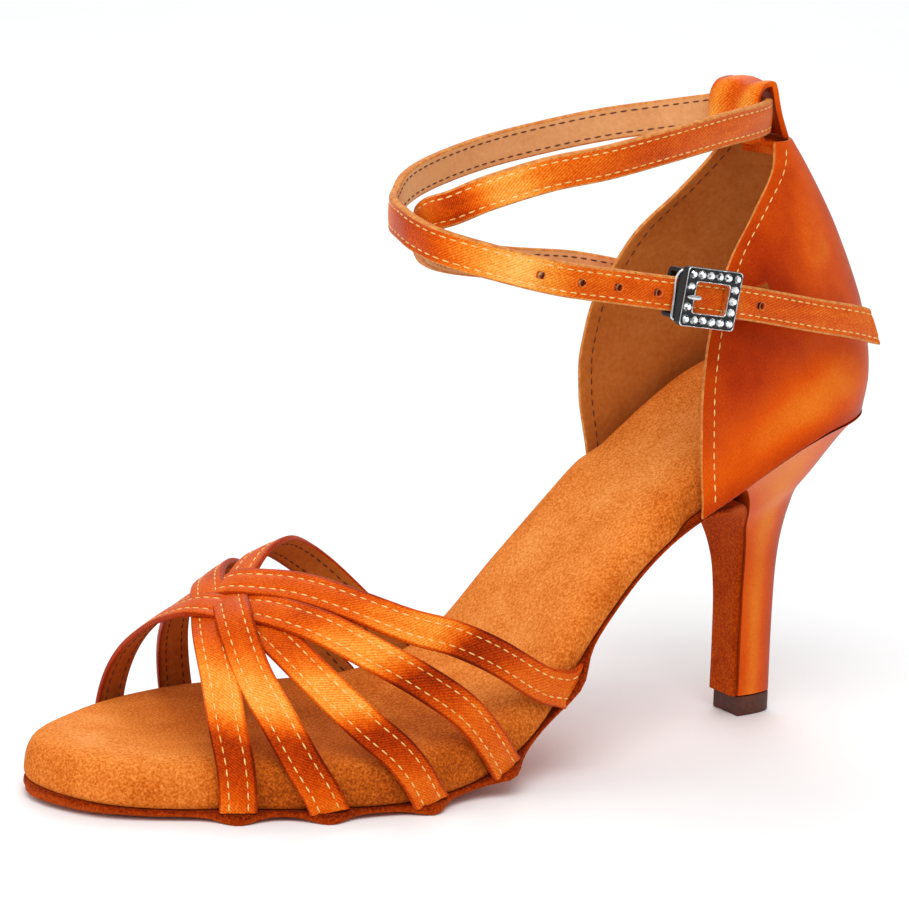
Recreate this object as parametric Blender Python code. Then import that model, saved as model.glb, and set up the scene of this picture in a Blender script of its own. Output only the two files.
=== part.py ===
"""Left ballroom dance sandal: woven toe straps, slim flared heel, wrapped ankle strap with a square buckle.

The shoe is modelled with x from the back of the heel seat to the toe, y towards the outer side of the
foot and z up from the floor. A parent empty then centres the whole over the middle of its own box.
"""

import math

import bmesh
import bpy
import numpy as np
from mathutils import Matrix, Vector

# Sole and last, metres
SOLE_LENGTH = 0.217
SEAT_START = 0.033
SLOPE_STEP = 0.002
RIM_SHARE = 0.25
BALL_WIDTH = 0.078
WAIST_WIDTH = 0.044
SEAT_WIDTH = 0.053
SEAT_RISE = 0.0708
OUTSOLE_THICKNESS = 0.0024
SHANK_THICKNESS = 0.0015
SHANK_FADE = (0.46, 0.60)
OUTSOLE_INSET = 0.0004
STRAP_FOOT_BUMP = 0.0026
BUMP_SPREAD = 0.62
EDGE_INSET_SHARE = 0.012
INSOLE_THICKNESS = 0.0105
FIT = 0.0003

# Heel
TAP_HEIGHT = 0.0048
TAP_WIDTH = 0.0100
TAP_LENGTH = 0.0112
TAP_FRONT = 0.0352
TAP_MARGIN = 0.0002
BREAST_FLAP_THICKNESS = 0.0015
LIP_STATION = 0.272
LIP_ROOM = 0.012
TUCK_FADE = (0.292, 0.322)
HEEL_TOP_SHARE = 0.965
HEEL_ROUNDNESS = 2.2
TAP_ROUNDNESS = 2.6
FIRST_TURN = 0.03

# Counter
COUNTER_WALL = 0.0018
COUNTER_HEIGHT = 0.063
QUARTER_REACH = 0.0643
QUARTER_WIDTH = 0.0512
COUNTER_PROUD = 0.0004
COUNTER_BLEND = 0.020
TOPLINE_WIDTH = 0.0034
TOPLINE_RISE = 0.0003

# Toe straps
STRAP_WIDTH = 0.0084
STRAP_THICKNESS = 0.0015
STRAP_LIFT = 0.0005
STRAP_LAYER = 0.0013
CROSSING_FILL = 0.85
STRAP_FOOT_SHARE = 0.09
WELD_GAP = 0.00003
INSTEP_HEIGHT = 0.070

# Ankle strap, back loop and buckle
ANKLE_STRAP_WIDTH = 0.0078
ANKLE_STRAP_THICKNESS = 0.0018
ANKLE_LENGTH = 0.1000
ANKLE_WIDTH = 0.0660
ANKLE_DROP = 0.0400
STRAP_OVER_COUNTER = 0.0065
LOOP_WIDTH = 0.0145
LOOP_THICKNESS = 0.0012
LOOP_HEIGHT = 0.0130
STRAP_IN_LOOP = 0.52
LOOP_DEPTH = 0.0140
HOLE_DIAMETER = 0.0016
PRONG_HOLE_DIAMETER = 0.0020
BUCKLE_LENGTH = 0.0168
BUCKLE_HEIGHT = 0.0134
BUCKLE_BAR = 0.0028
BUCKLE_THICKNESS = 0.0018
BUCKLE_RIM = 0.0004
BUCKLE_RECESS = 0.0003
BUCKLE_CORNER = 0.0008
WINDOW_CORNER = 0.0005
INNER_CORNER = 0.0006
KEEPER_LENGTH = 0.0030
KEEPER_WALL = 0.0012
KEEPER_OVERLAP = 0.0004
SLOT_OVERRUN = 0.0020
CRYSTAL_DIAMETER = 0.0016
CRYSTAL_HEIGHT = 0.0007
TOE_SIDE_STONES = (0.27, 0.73)
PRONG_DIAMETER = 0.0011
PRONG_FOOT = 0.0030
PRONG_TIP_SHARE = 0.75
HOLDER_WIDTH = 0.0080
HOLDER_THICKNESS = 0.0011
HOLDER_LANDING = (0.965, 0.93, 0.90, 0.87)
HOLDER_HEIGHT_SHARE = 0.50

# Places of the outsole's lengthwise edges across it, and counts of rows in the meshes
ACROSS_SHARES = (0.0, EDGE_INSET_SHARE, 0.5, 1.0 - EDGE_INSET_SHARE, 1.0)
SOLE_ROWS = 44
END_TURN = 0.009
BREAST_ROWS = 14
HEEL_COLUMNS = 12
COUNTER_COLUMNS = 30
COUNTER_ROWS = 16
STRAP_STEPS = 4
ANKLE_STEPS = 3

# Half breadths of the sole, as shares of the width that each row follows
# (station, outer side, inner side, width)
PLAN = (
    (SEAT_START, 0.000, 0.000, SEAT_WIDTH),
    (0.052, 0.290, 0.280, SEAT_WIDTH),
    (0.085, 0.415, 0.410, SEAT_WIDTH),
    (0.138, 0.490, 0.494, SEAT_WIDTH),
    (0.220, 0.492, 0.481, SEAT_WIDTH),
    (0.370, 0.551, 0.450, WAIST_WIDTH),
    (0.480, 0.382, 0.278, BALL_WIDTH),
    (0.570, 0.451, 0.354, BALL_WIDTH),
    (0.630, 0.479, 0.436, BALL_WIDTH),
    (0.690, 0.487, 0.505, BALL_WIDTH),
    (0.770, 0.431, 0.522, BALL_WIDTH),
    (0.855, 0.325, 0.470, BALL_WIDTH),
    (0.920, 0.240, 0.378, BALL_WIDTH),
    (0.965, 0.154, 0.282, BALL_WIDTH),
    (1.000, -0.090, 0.090, BALL_WIDTH),
)

# Rise of the sole's upper face over the ball, as shares of the seat's rise: (station, rise)
RISE = (
    (0.00, 1.034),
    (0.05, 1.024),
    (0.09, 1.009),
    (0.13, 0.990),
    (0.16, 0.957),
    (0.24, 0.825),
    (0.33, 0.655),
    (0.42, 0.404),
    (0.50, 0.145),
    (0.58, 0.0325),
    (0.62, 0.0113),
    (0.66, 0.000),
    (0.74, 0.000),
    (0.86, 0.000),
    (0.93, 0.004),
    (1.00, 0.020),
)

# Front of the heel from the tap to the lip, between those two points: (share, forward, up)
BREAST = (
    (0.00, 0.000, 0.000),
    (0.20, 0.004, 0.240),
    (0.40, 0.013, 0.474),
    (0.55, 0.043, 0.650),
    (0.65, 0.102, 0.767),
    (0.75, 0.209, 0.871),
    (0.85, 0.417, 0.968),
    (0.93, 0.660, 1.008),
    (1.00, 1.000, 1.000),
)

# Flare of the heel from tap to seat: (share of height, share of the way out to the seat)
FLARE = (
    (0.00, 0.000),
    (0.20, -0.004),
    (0.32, 0.000),
    (0.44, 0.015),
    (0.545, 0.055),
    (0.647, 0.135),
    (0.741, 0.260),
    (0.813, 0.470),
    (0.920, 0.790),
    (1.00, 1.000),
)

# Heights of the heel's rings, as shares of its height
HEEL_SHARES = (0.0, 0.12, 0.24, 0.35, 0.45, 0.53, 0.60, 0.66, 0.71, 0.76, 0.81, 0.86, 0.91)

# Padded sock's edge from its underside round to the top: (inset, height) as shares of its thickness
SOCK_EDGE = (
    (0.07, 0.00),
    (0.01, 0.10),
    (0.01, 0.30),
    (0.06, 0.58),
    (0.19, 0.82),
    (0.42, 0.95),
    (0.78, 1.00),
)

# Sections of the counter: height over the seat, back and front edge of the wall, half breadth there
# (share of counter height, of quarter reach, of quarter reach, of quarter width)
COUNTER = (
    (-0.26, 0.125, 0.972, 0.482),
    (0.00, 0.112, 0.996, 0.500),
    (0.12, 0.076, 1.000, 0.500),
    (0.22, 0.064, 0.990, 0.489),
    (0.35, 0.084, 0.965, 0.469),
    (0.485, 0.134, 0.906, 0.424),
    (0.61, 0.192, 0.840, 0.381),
    (0.77, 0.276, 0.700, 0.303),
    (0.92, 0.374, 0.588, 0.236),
    (1.00, 0.428, 0.560, 0.186),
)
COUNTER_ROUNDNESS = 2.4

# Ridge of the last under the toe straps: station, sideways share of ball width, height share of instep
RIDGE = (
    (0.42, 0.000, 1.085),
    (0.55, -0.038, 0.942),
    (0.66, -0.070, 0.758),
    (0.72, -0.090, 0.676),
    (0.775, -0.077, 0.576),
    (0.84, -0.064, 0.482),
    (0.90, -0.064, 0.400),
)
OUTER_ROUNDNESS = 1.9
INNER_ROUNDNESS = 2.0

# Toe straps over the last, from the outer edge of the sole to the inner edge
# (station, share of the way over, layers above the last)
TOE_STRAPS = {
    "front": (
        (0.846, 0.00, 0.0),
        (0.846, 0.10, 0.0),
        (0.845, 0.20, 0.0),
        (0.835, 0.31, 0.1),
        (0.822, 0.40, 0.6),
        (0.805, 0.47, 1.0),
        (0.779, 0.55, 2.0),
        (0.745, 0.64, 1.4),
        (0.695, 0.75, 0.4),
        (0.645, 0.85, 0.0),
        (0.600, 0.93, 0.0),
        (0.560, 1.00, 0.0),
    ),
    "second": (
        (0.762, 0.00, 0.0),
        (0.785, 0.09, 0.0),
        (0.799, 0.18, 0.0),
        (0.806, 0.27, 0.1),
        (0.803, 0.34, 0.8),
        (0.793, 0.41, 2.0),
        (0.772, 0.49, 1.0),
        (0.738, 0.54, 0.5),
        (0.690, 0.62, 0.1),
        (0.640, 0.73, 0.0),
        (0.590, 0.83, 0.0),
        (0.540, 0.92, 0.0),
        (0.495, 1.00, 0.0),
    ),
    "middle": (
        (0.655, 0.00, 0.0),
        (0.686, 0.07, 0.0),
        (0.719, 0.13, 0.0),
        (0.745, 0.20, 0.0),
        (0.763, 0.28, 0.0),
        (0.775, 0.38, 0.0),
        (0.778, 0.48, 0.0),
        (0.765, 0.60, 0.0),
        (0.735, 0.73, 0.0),
        (0.700, 0.85, 0.0),
        (0.660, 1.00, 0.0),
    ),
    "fourth": (
        (0.555, 0.00, 0.0),
        (0.600, 0.09, 0.0),
        (0.650, 0.165, 0.0),
        (0.700, 0.24, 0.2),
        (0.738, 0.32, 0.8),
        (0.768, 0.40, 1.0),
        (0.787, 0.44, 1.1),
        (0.806, 0.50, 2.0),
        (0.818, 0.58, 1.0),
        (0.824, 0.68, 0.1),
        (0.828, 0.79, 0.0),
        (0.830, 0.90, 0.0),
        (0.830, 1.00, 0.0),
    ),
    "fifth": (
        (0.460, 0.00, 0.0),
        (0.535, 0.11, 0.0),
        (0.598, 0.19, 0.0),
        (0.650, 0.25, 0.0),
        (0.700, 0.33, 0.3),
        (0.740, 0.42, 1.2),
        (0.765, 0.49, 2.0),
        (0.780, 0.56, 1.0),
        (0.782, 0.66, 0.3),
        (0.769, 0.77, 0.0),
        (0.753, 0.89, 0.0),
        (0.738, 1.00, 0.0),
    ),
}

# Ankle strap from the inner quarter, round the front, through the loop, round again, to its tail
# (share of ankle length forward of the loop, of ankle width sideways, of ankle drop above the loop)
ANKLE_ROUTE = (
    (0.155, -0.420, -1.095),
    (0.220, -0.458, -1.060),
    (0.300, -0.485, -1.025),
    (0.465, -0.480, -0.975),
    (0.670, -0.375, -0.885),
    (0.790, -0.240, -0.790),
    (0.865, -0.110, -0.700),
    (0.915, 0.000, -0.610),
    (0.940, 0.080, -0.540),
    (0.940, 0.155, -0.450),
    (0.920, 0.235, -0.375),
    (0.865, 0.330, -0.275),
    (0.750, 0.415, -0.170),
    (0.605, 0.440, -0.117),
    (0.430, 0.400, -0.062),
    (0.220, 0.285, -0.027),
    (0.085, 0.185, -0.022),
    (0.015, 0.100, -0.022),
    (0.000, 0.020, -0.032),
    (0.020, -0.070, -0.008),
    (0.060, -0.140, -0.043),
    (0.135, -0.300, -0.113),
    (0.235, -0.410, -0.170),
    (0.380, -0.470, -0.240),
    (0.550, -0.470, -0.310),
    (0.715, -0.395, -0.376),
    (0.825, -0.300, -0.428),
    (0.899, -0.185, -0.485),
    (0.950, -0.070, -0.492),
    (0.980, 0.060, -0.502),
    (0.988, 0.170, -0.532),
    (0.967, 0.300, -0.575),
    (0.870, 0.425, -0.648),
    (0.740, 0.485, -0.732),
    (0.590, 0.500, -0.800),
    (0.470, 0.500, -0.855),
    (0.350, 0.492, -0.906),
    (0.190, 0.462, -0.990),
    (-0.005, 0.409, -1.105),
    (-0.124, 0.370, -1.172),
    (-0.201, 0.335, -1.226),
)
LAST_RUN_ROW = 31
HOLES_FORWARD = (0.790, 0.695, 0.600, 0.495, 0.195)
BUCKLE_FORWARD = 0.360

# Back loop: (forward share of its depth, up share of its height, forward bend of its edges)
LOOP_ROUTE = (
    (0.000, 0.000, 0.0030),
    (0.110, 0.300, 0.0030),
    (0.230, 0.600, 0.0026),
    (0.360, 0.860, 0.0018),
    (0.520, 0.985, 0.0008),
    (0.720, 1.000, 0.0003),
    (0.900, 0.920, 0.0000),
    (1.000, 0.700, 0.0000),
    (0.990, 0.350, 0.0000),
    (0.940, 0.020, 0.0000),
    (0.780, -0.130, 0.0003),
    (0.520, -0.150, 0.0012),
    (0.260, -0.210, 0.0026),
    (0.160, -0.400, 0.0030),
)
LOOP_COLUMNS = 6
LOOP_TURN = math.radians(14.0)
LOOP_TURN_FADE = (0.30, 0.95)

# Finishes: (colour, roughness, metallic)
SATIN = ((0.850, 0.376, 0.059), 0.38, 0.0)
SUEDE = ((0.720, 0.290, 0.100), 0.90, 0.0)
SOCK = ((0.850, 0.502, 0.251), 0.85, 0.0)
RUBBER = ((0.290, 0.141, 0.094), 0.55, 0.0)
CHROME = ((0.780, 0.790, 0.800), 0.15, 1.0)
GLASS = ((0.900, 0.920, 0.950), 0.05, 0.0)


class Smooth:
    """A smooth curve through one column of a short table."""

    def __init__(self, at, values):
        self.at = np.array(at, float)
        self.values = np.array(values, float)
        self.slopes = np.gradient(self.values, self.at)

    def __call__(self, where):
        index = int(np.clip(np.searchsorted(self.at, where) - 1, 0, len(self.at) - 2))
        step = self.at[index + 1] - self.at[index]
        t = (where - self.at[index]) / step
        start = (2 * t**3 - 3 * t**2 + 1) * self.values[index]
        start += (t**3 - 2 * t**2 + t) * step * self.slopes[index]
        end = (3 * t**2 - 2 * t**3) * self.values[index + 1]
        end += (t**3 - t**2) * step * self.slopes[index + 1]
        return float(start + end)


def column(rows, index, scale=1.0):
    """Smooth curve of one column over the first column."""
    return Smooth([row[0] for row in rows], [row[index] * scale for row in rows])


def turn_of(station):
    """Angle that runs evenly round the rounded ends of the sole."""
    share = (station - SEAT_START) / (1.0 - SEAT_START)
    return math.acos(1.0 - 2.0 * min(max(share, 0.0), 1.0))


def station_of(turn):
    """Share of the sole's length at an angle."""
    return SEAT_START + (1.0 - SEAT_START) * (1.0 - math.cos(turn)) / 2.0


OUTER_EDGE = Smooth([turn_of(row[0]) for row in PLAN], [row[1] * row[3] for row in PLAN])
INNER_EDGE = Smooth([turn_of(row[0]) for row in PLAN], [-row[2] * row[3] for row in PLAN])
RISE_CURVE = column(RISE, 1, SEAT_RISE)
BREAST_X = column(BREAST, 1)
BREAST_Z = column(BREAST, 2)
FLARE_CURVE = column(FLARE, 1)
RIDGE_Y = column(RIDGE, 1, BALL_WIDTH)
RIDGE_Z = column(RIDGE, 2, INSTEP_HEIGHT)
COUNTER_BACK = column(COUNTER, 1, QUARTER_REACH)
COUNTER_FRONT = column(COUNTER, 2, QUARTER_REACH)
COUNTER_HALF = column(COUNTER, 3, QUARTER_WIDTH)


def smoothstep(low, high, value):
    """Ease from 0 at low to 1 at high."""
    t = min(max((value - low) / (high - low), 0.0), 1.0)
    return t * t * (3.0 - 2.0 * t)


def seam_height(station):
    """Height of the joint between outsole and insole."""
    return OUTSOLE_THICKNESS + max(0.0, RISE_CURVE(min(max(station, 0.0), 1.0)))


def plan_edge(turn, side, grow=0.0):
    """Point of the sole's outline, moved outwards by grow."""
    curve = OUTER_EDGE if side > 0 else INNER_EDGE
    small = 1e-4
    before = max(turn - small, 0.0)
    after = min(turn + small, math.pi)
    dx = SOLE_LENGTH * (station_of(after) - station_of(before))
    dy = curve(after) - curve(before)
    length = math.hypot(dx, dy)
    x = SOLE_LENGTH * station_of(turn) - side * dy / length * grow
    return x, curve(turn) + side * dx / length * grow


def new_object(name, bm, finish):
    """Object of a closed mesh with its finish and soft shading."""
    bmesh.ops.remove_doubles(bm, verts=bm.verts, dist=1e-7)
    bmesh.ops.recalc_face_normals(bm, faces=bm.faces)
    mesh = bpy.data.meshes.new(name)
    bm.to_mesh(mesh)
    bm.free()
    mesh.shade_smooth()
    mesh.set_sharp_from_angle(angle=math.radians(40.0))
    obj = bpy.data.objects.new(name, mesh)
    bpy.context.scene.collection.objects.link(obj)
    colour, roughness, metallic = finish
    material = bpy.data.materials.new(name + "_finish")
    material.use_nodes = True
    shader = material.node_tree.nodes["Principled BSDF"]
    shader.inputs["Base Color"].default_value = (*colour, 1.0)
    shader.inputs["Roughness"].default_value = roughness
    shader.inputs["Metallic"].default_value = metallic
    mesh.materials.append(material)
    return obj


def slab(rings):
    """Closed mesh through rings of paired edge points, each ring an outer and an inner list."""
    bm = bmesh.new()
    loops = []
    for outer, inner in rings:
        points = list(outer) + list(reversed(inner))
        loops.append([bm.verts.new(point) for point in points])
    count = len(loops[0])
    for lower, upper in zip(loops, loops[1:]):
        for i in range(count):
            j = (i + 1) % count
            bm.faces.new((lower[i], lower[j], upper[j], upper[i]))
    for loop in (loops[0], loops[-1]):
        for i in range(count // 2 - 1):
            bm.faces.new((loop[i], loop[i + 1], loop[count - 2 - i], loop[count - 1 - i]))
    return bm


def closed_sheet(front, back):
    """Closed mesh between two grids of points with the same rows and columns."""
    bm = bmesh.new()
    faces = [[[bm.verts.new(point) for point in row] for row in grid] for grid in (front, back)]
    rows = len(front)
    columns = len(front[0])
    for grid in faces:
        for i in range(rows - 1):
            for j in range(columns - 1):
                bm.faces.new((grid[i][j], grid[i][j + 1], grid[i + 1][j + 1], grid[i + 1][j]))
    near, far = faces
    for i in range(rows - 1):
        for j in (0, columns - 1):
            bm.faces.new((near[i][j], near[i + 1][j], far[i + 1][j], far[i][j]))
    for j in range(columns - 1):
        for i in (0, rows - 1):
            bm.faces.new((near[i][j], near[i][j + 1], far[i][j + 1], far[i][j]))
    return bm


def ribbon(points, outwards, width, thicknesses, skews=None):
    """Flat strap along points, with its inner face on them and its outer face outwards."""
    front = []
    back = []
    last = len(points) - 1
    for i, point in enumerate(points):
        along = (points[min(i + 1, last)] - points[max(i - 1, 0)]).normalized()
        out = outwards[i]
        out = (out - along * out.dot(along)).normalized()
        across = along.cross(out)
        if skews is not None:
            across = skews[i](across)
        half = across * (width / 2.0)
        lift = out * thicknesses[i]
        back.append([point - half, point + half])
        front.append([point - half + lift, point + half + lift])
    return closed_sheet(front, back)


def resample(rows, steps):
    """Rows of a table made denser along a smooth curve through all its columns."""
    places = list(range(len(rows)))
    curves = [Smooth(places, [row[k] for row in rows]) for k in range(len(rows[0]))]
    count = (len(rows) - 1) * steps
    return [[curve(i / steps) for curve in curves] for i in range(count + 1)]


def sole_turns():
    """Angles of the sole's rows from toe to heel."""
    first = math.pi * (1.0 - END_TURN)
    last = math.pi * END_TURN
    return [first + (last - first) * i / SOLE_ROWS for i in range(SOLE_ROWS + 1)]


def strap_feet(side):
    """Stations where toe straps tuck into the sole's edge."""
    end = 0 if side > 0 else -1
    return [rows[end][0] for rows in TOE_STRAPS.values()]


def sole_thickness(station):
    """Thickness of the outsole, thinner along the shank."""
    shank = 1.0 - smoothstep(*SHANK_FADE, station)
    return OUTSOLE_THICKNESS + (SHANK_THICKNESS - OUTSOLE_THICKNESS) * shank


def edge_bump(station, side):
    """Outward swell of the outsole's edge under the straps."""
    swell = 0.0
    for foot in strap_feet(side):
        away = (station - foot) * SOLE_LENGTH / (BUMP_SPREAD * STRAP_WIDTH)
        swell += STRAP_FOOT_BUMP * math.exp(-away * away)
    return swell


def breast_point(share, away=0.0):
    """Point on the heel's front, moved by away off the flap towards the heel."""
    lip_x = LIP_STATION * SOLE_LENGTH
    lip_z = seam_height(LIP_STATION)

    def at(where):
        x = TAP_FRONT + FIT + (lip_x - TAP_FRONT - FIT) * BREAST_X(where)
        z = TAP_HEIGHT + FIT + (lip_z - TAP_HEIGHT - FIT) * BREAST_Z(where)
        return np.array((x, z))

    step = 0.004
    along = at(min(share + step, 1.0)) - at(max(share - step, 0.0))
    along /= np.hypot(*along)
    x, z = at(share) + np.array((-along[1], along[0])) * away
    return x, z


def heel_half(share, reach, side):
    """Half breadth of the heel at a share of its height and a share of its depth."""
    tap = TAP_WIDTH / 2.0 * (1.0 - (1.0 - reach) ** TAP_ROUNDNESS) ** (1.0 / TAP_ROUNDNESS)
    seat_x = (SEAT_START + (LIP_STATION - SEAT_START) * reach) * SOLE_LENGTH
    curve = OUTER_EDGE if side > 0 else INNER_EDGE
    seat = abs(curve(turn_of(seat_x / SOLE_LENGTH)))
    return tap + (seat - tap) * FLARE_CURVE(share)


def heel_ring(share, away):
    """Outer and inner points of a ring round the heel."""
    front_x, front_z = breast_point(share, away)
    back_x = TAP_FRONT - TAP_LENGTH
    back_x -= (back_x - SEAT_START * SOLE_LENGTH - FIT) * FLARE_CURVE(min(share / HEEL_TOP_SHARE, 1.0))
    base = TAP_HEIGHT + FIT
    back_z = base + (seam_height(0.004) - base) * share / HEEL_TOP_SHARE
    ring = []
    for side in (1, -1):
        points = []
        for i in range(HEEL_COLUMNS + 1):
            turn = math.pi / 2.0 * (FIRST_TURN + (1.0 - FIRST_TURN) * i / HEEL_COLUMNS)
            reach = 1.0 - math.cos(turn) ** (2.0 / HEEL_ROUNDNESS)
            x = back_x + (front_x - back_x) * reach
            z = back_z + (front_z - back_z) * reach
            if share > 0.0:
                top = seam_height(x / SOLE_LENGTH)
                z += (top - z) * FLARE_CURVE(share / HEEL_TOP_SHARE) ** 3
            y = side * heel_half(min(share / HEEL_TOP_SHARE, 1.0), reach, side)
            points.append(Vector((x, y, z)))
        ring.append(points)
    return ring


def build_outsole():
    """Suede sole with its flange and bumps, running on down the front of the heel."""
    top = []
    bottom = []
    for turn in sole_turns():
        station = station_of(turn)
        if station < LIP_STATION + LIP_ROOM:
            break
        rise = seam_height(station + SLOPE_STEP) - seam_height(station - SLOPE_STEP)
        slope = rise / (2 * SLOPE_STEP * SOLE_LENGTH)
        normal = Vector((-slope, 0.0, 1.0)).normalized()
        row = []
        for side in (1, -1):
            grow = edge_bump(station, side) - OUTSOLE_INSET
            x, y = plan_edge(turn, side, grow)
            height = seam_height(min(x / SOLE_LENGTH, 1.0))
            row.append(Vector((x, y, height)))
        middle = [row[0].lerp(row[1], share) for share in ACROSS_SHARES[1:-1]]
        top.append([row[0], *middle, row[1]])
        thickness = sole_thickness(station)
        under = [point - normal * thickness for point in top[-1]]
        rim = RIM_SHARE * thickness
        under[0].z += rim
        under[-1].z += rim
        bottom.append(under)
    for i in range(BREAST_ROWS + 1):
        share = 1.0 - i / BREAST_ROWS
        thickness = BREAST_FLAP_THICKNESS + (SHANK_THICKNESS - BREAST_FLAP_THICKNESS) * share**4
        x, z = breast_point(share)
        low_x, low_z = breast_point(share, -thickness)
        sides = []
        for side in (1, -1):
            reach = min(share / HEEL_TOP_SHARE, 1.0)
            sides.append(side * (heel_half(reach, 1.0, side) - TAP_MARGIN))
        across = [sides[0] + (sides[1] - sides[0]) * part for part in ACROSS_SHARES]
        top.append([Vector((x, y, z)) for y in across])
        bottom.append([Vector((low_x, y, low_z)) for y in across])
    return new_object("outsole", closed_sheet(top, bottom), SUEDE)


def build_insole():
    """Padded sock with a rolled edge, tucked inside the counter at the seat."""
    rings = []
    for inset, height in SOCK_EDGE:
        sides = []
        for side in (1, -1):
            points = []
            for turn in sole_turns():
                station = station_of(turn)
                inside = COUNTER_WALL + 3.0 * FIT
                tuck = inside * (1.0 - smoothstep(*TUCK_FADE, station))
                grow = -tuck - inset * INSOLE_THICKNESS - FIT
                x, y = plan_edge(turn, side, grow)
                z = seam_height(x / SOLE_LENGTH) + FIT + height * INSOLE_THICKNESS
                points.append(Vector((x, y, z)))
            sides.append(points)
        rings.append(sides)
    return new_object("insole", slab(rings), SOCK)


def build_heel():
    """Slim covered heel, flared to the seat, with its front behind the suede flap."""
    rings = [heel_ring(share, FIT) for share in (*HEEL_SHARES, HEEL_TOP_SHARE)]
    return new_object("heel", slab(rings), SATIN)


def build_heel_tap():
    """Rubber top piece that stands on the floor."""
    upper = heel_ring(0.0, FIT)
    front = TAP_FRONT
    rings = []
    for height in (0.0, TAP_HEIGHT):
        ring = []
        for points in upper:
            ring.append([Vector((min(point.x, front), point.y, height)) for point in points])
        rings.append(ring)
    return new_object("heel_tap", slab(rings), RUBBER)


def counter_point(turn, height_share, grow=0.0):
    """Point on the outside of the counter: turn from -1 at the inner edge to 1 at the outer."""
    seat = seam_height(0.0)
    angle = abs(turn) * math.pi / 2.0
    side = 1 if turn >= 0 else -1
    reach = 1.0 - max(math.cos(angle), 0.0) ** (2.0 / COUNTER_ROUNDNESS)
    z = seat
    for _ in range(6):
        share = (z - seat) / COUNTER_HEIGHT
        back = COUNTER_BACK(max(share, COUNTER[0][0]))
        front = COUNTER_FRONT(max(share, COUNTER[0][0]))
        x = back + (front - back) * reach
        bottom = seam_height(max(x, 0.0) / SOLE_LENGTH) + FIT
        z = bottom + (seat + COUNTER_HEIGHT - bottom) * height_share
    half = COUNTER_HALF(max((z - seat) / COUNTER_HEIGHT, COUNTER[0][0]))
    upper = half * math.sin(angle) ** (2.0 / COUNTER_ROUNDNESS)
    curve = OUTER_EDGE if side > 0 else INNER_EDGE
    lower = abs(curve(turn_of(SEAT_START + (x - back) / SOLE_LENGTH))) + COUNTER_PROUD * math.sin(angle)
    blend = smoothstep(0.0, COUNTER_BLEND, z - bottom)
    y = side * (lower + (upper - lower) * blend)
    return Vector((x, y, z))


def counter_frame(turn, height_share):
    """Point on the counter's outside with its outward and upward directions."""
    step = 0.01
    point = counter_point(turn, height_share)
    low = counter_point(max(turn - step, -1.0), height_share)
    high = counter_point(min(turn + step, 1.0), height_share)
    below = counter_point(turn, max(height_share - step, 0.0))
    above = counter_point(turn, min(height_share + step, 1.0))
    normal = (high - low).cross(above - below).normalized()
    if normal.dot(point - Vector((QUARTER_REACH, 0.0, point.z))) < 0.0:
        normal.negate()
    return point, normal, (above - below).normalized()


def build_counter():
    """Quarters and counter in one hollow wall, open at the top, the front and the foot."""
    outer = []
    inner = []
    turns = [-1.0 + 2.0 * i / COUNTER_COLUMNS for i in range(COUNTER_COLUMNS + 1)]
    heights = [i / COUNTER_ROWS for i in range(COUNTER_ROWS + 1)]
    for height in heights:
        outer_row = []
        inner_row = []
        for turn in turns:
            point, normal, _ = counter_frame(turn, height)
            edge = counter_point(math.copysign(1.0, turn), height)
            near_edge = 1.0 - smoothstep(0.75 * TOPLINE_WIDTH, TOPLINE_WIDTH, (edge - point).length)
            inner_point = point - normal * COUNTER_WALL
            inner_point.z = point.z
            outer_row.append(point + normal * TOPLINE_RISE * near_edge)
            inner_row.append(inner_point)
        outer.append(outer_row)
        inner.append(inner_row)
    return new_object("counter", closed_sheet(outer, inner), SATIN)


def last_point(station, over):
    """Point on the last under the toe straps: over from 0 at the outer edge to 1 at the inner."""
    angle = math.pi * over
    cosine = math.cos(angle)
    power = 2.0 / (OUTER_ROUNDNESS if cosine >= 0.0 else INNER_ROUNDNESS)
    curve = OUTER_EDGE if cosine >= 0.0 else INNER_EDGE
    edge = curve(turn_of(station))
    ridge = RIDGE_Y(station)
    low = seam_height(station) + 3 * FIT
    y = ridge + (edge - ridge) * abs(cosine) ** power
    z = low + (RIDGE_Z(station) - low) * abs(math.sin(angle)) ** power
    return Vector((station * SOLE_LENGTH, y, z))


def last_normal(station, over):
    """Outward direction of the last."""
    along = last_point(station + SLOPE_STEP, over) - last_point(station - SLOPE_STEP, over)
    low = max(over - SLOPE_STEP, 0.0)
    high = min(over + SLOPE_STEP, 1.0)
    around = last_point(station, high) - last_point(station, low)
    return around.cross(along).normalized()


def toe_strap(rows):
    """One toe strap as a mesh, its ends cut along the sole's edge."""
    points = []
    outwards = []
    thicknesses = []
    skews = []
    for station, over, layers in resample(rows, STRAP_STEPS):
        over = min(max(over, 0.0), 1.0)
        normal = last_normal(station, over)
        raised = STRAP_LAYER * max(layers, 0.0)
        points.append(last_point(station, over) + normal * (STRAP_LIFT + (1.0 - CROSSING_FILL) * raised))
        outwards.append(normal)
        thicknesses.append(STRAP_THICKNESS + CROSSING_FILL * raised)
        edge = last_point(station + SLOPE_STEP, over) - last_point(station - SLOPE_STEP, over)
        edge.normalize()
        weight = 1.0 - smoothstep(0.0, STRAP_FOOT_SHARE, min(over, 1.0 - over))

        def skew(across, edge=edge, weight=weight):
            along_edge = edge / edge.dot(across)
            return across.lerp(along_edge, weight)

        skews.append(skew)
    return ribbon(points, outwards, STRAP_WIDTH, thicknesses, skews)


def join_to(target, tool):
    """Union of a hidden helper into a target."""
    tool.hide_render = True
    tool.display_type = "WIRE"
    union = target.modifiers.new("join_" + tool.name, "BOOLEAN")
    union.operation = "UNION"
    union.solver = "EXACT"
    union.object = tool


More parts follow.
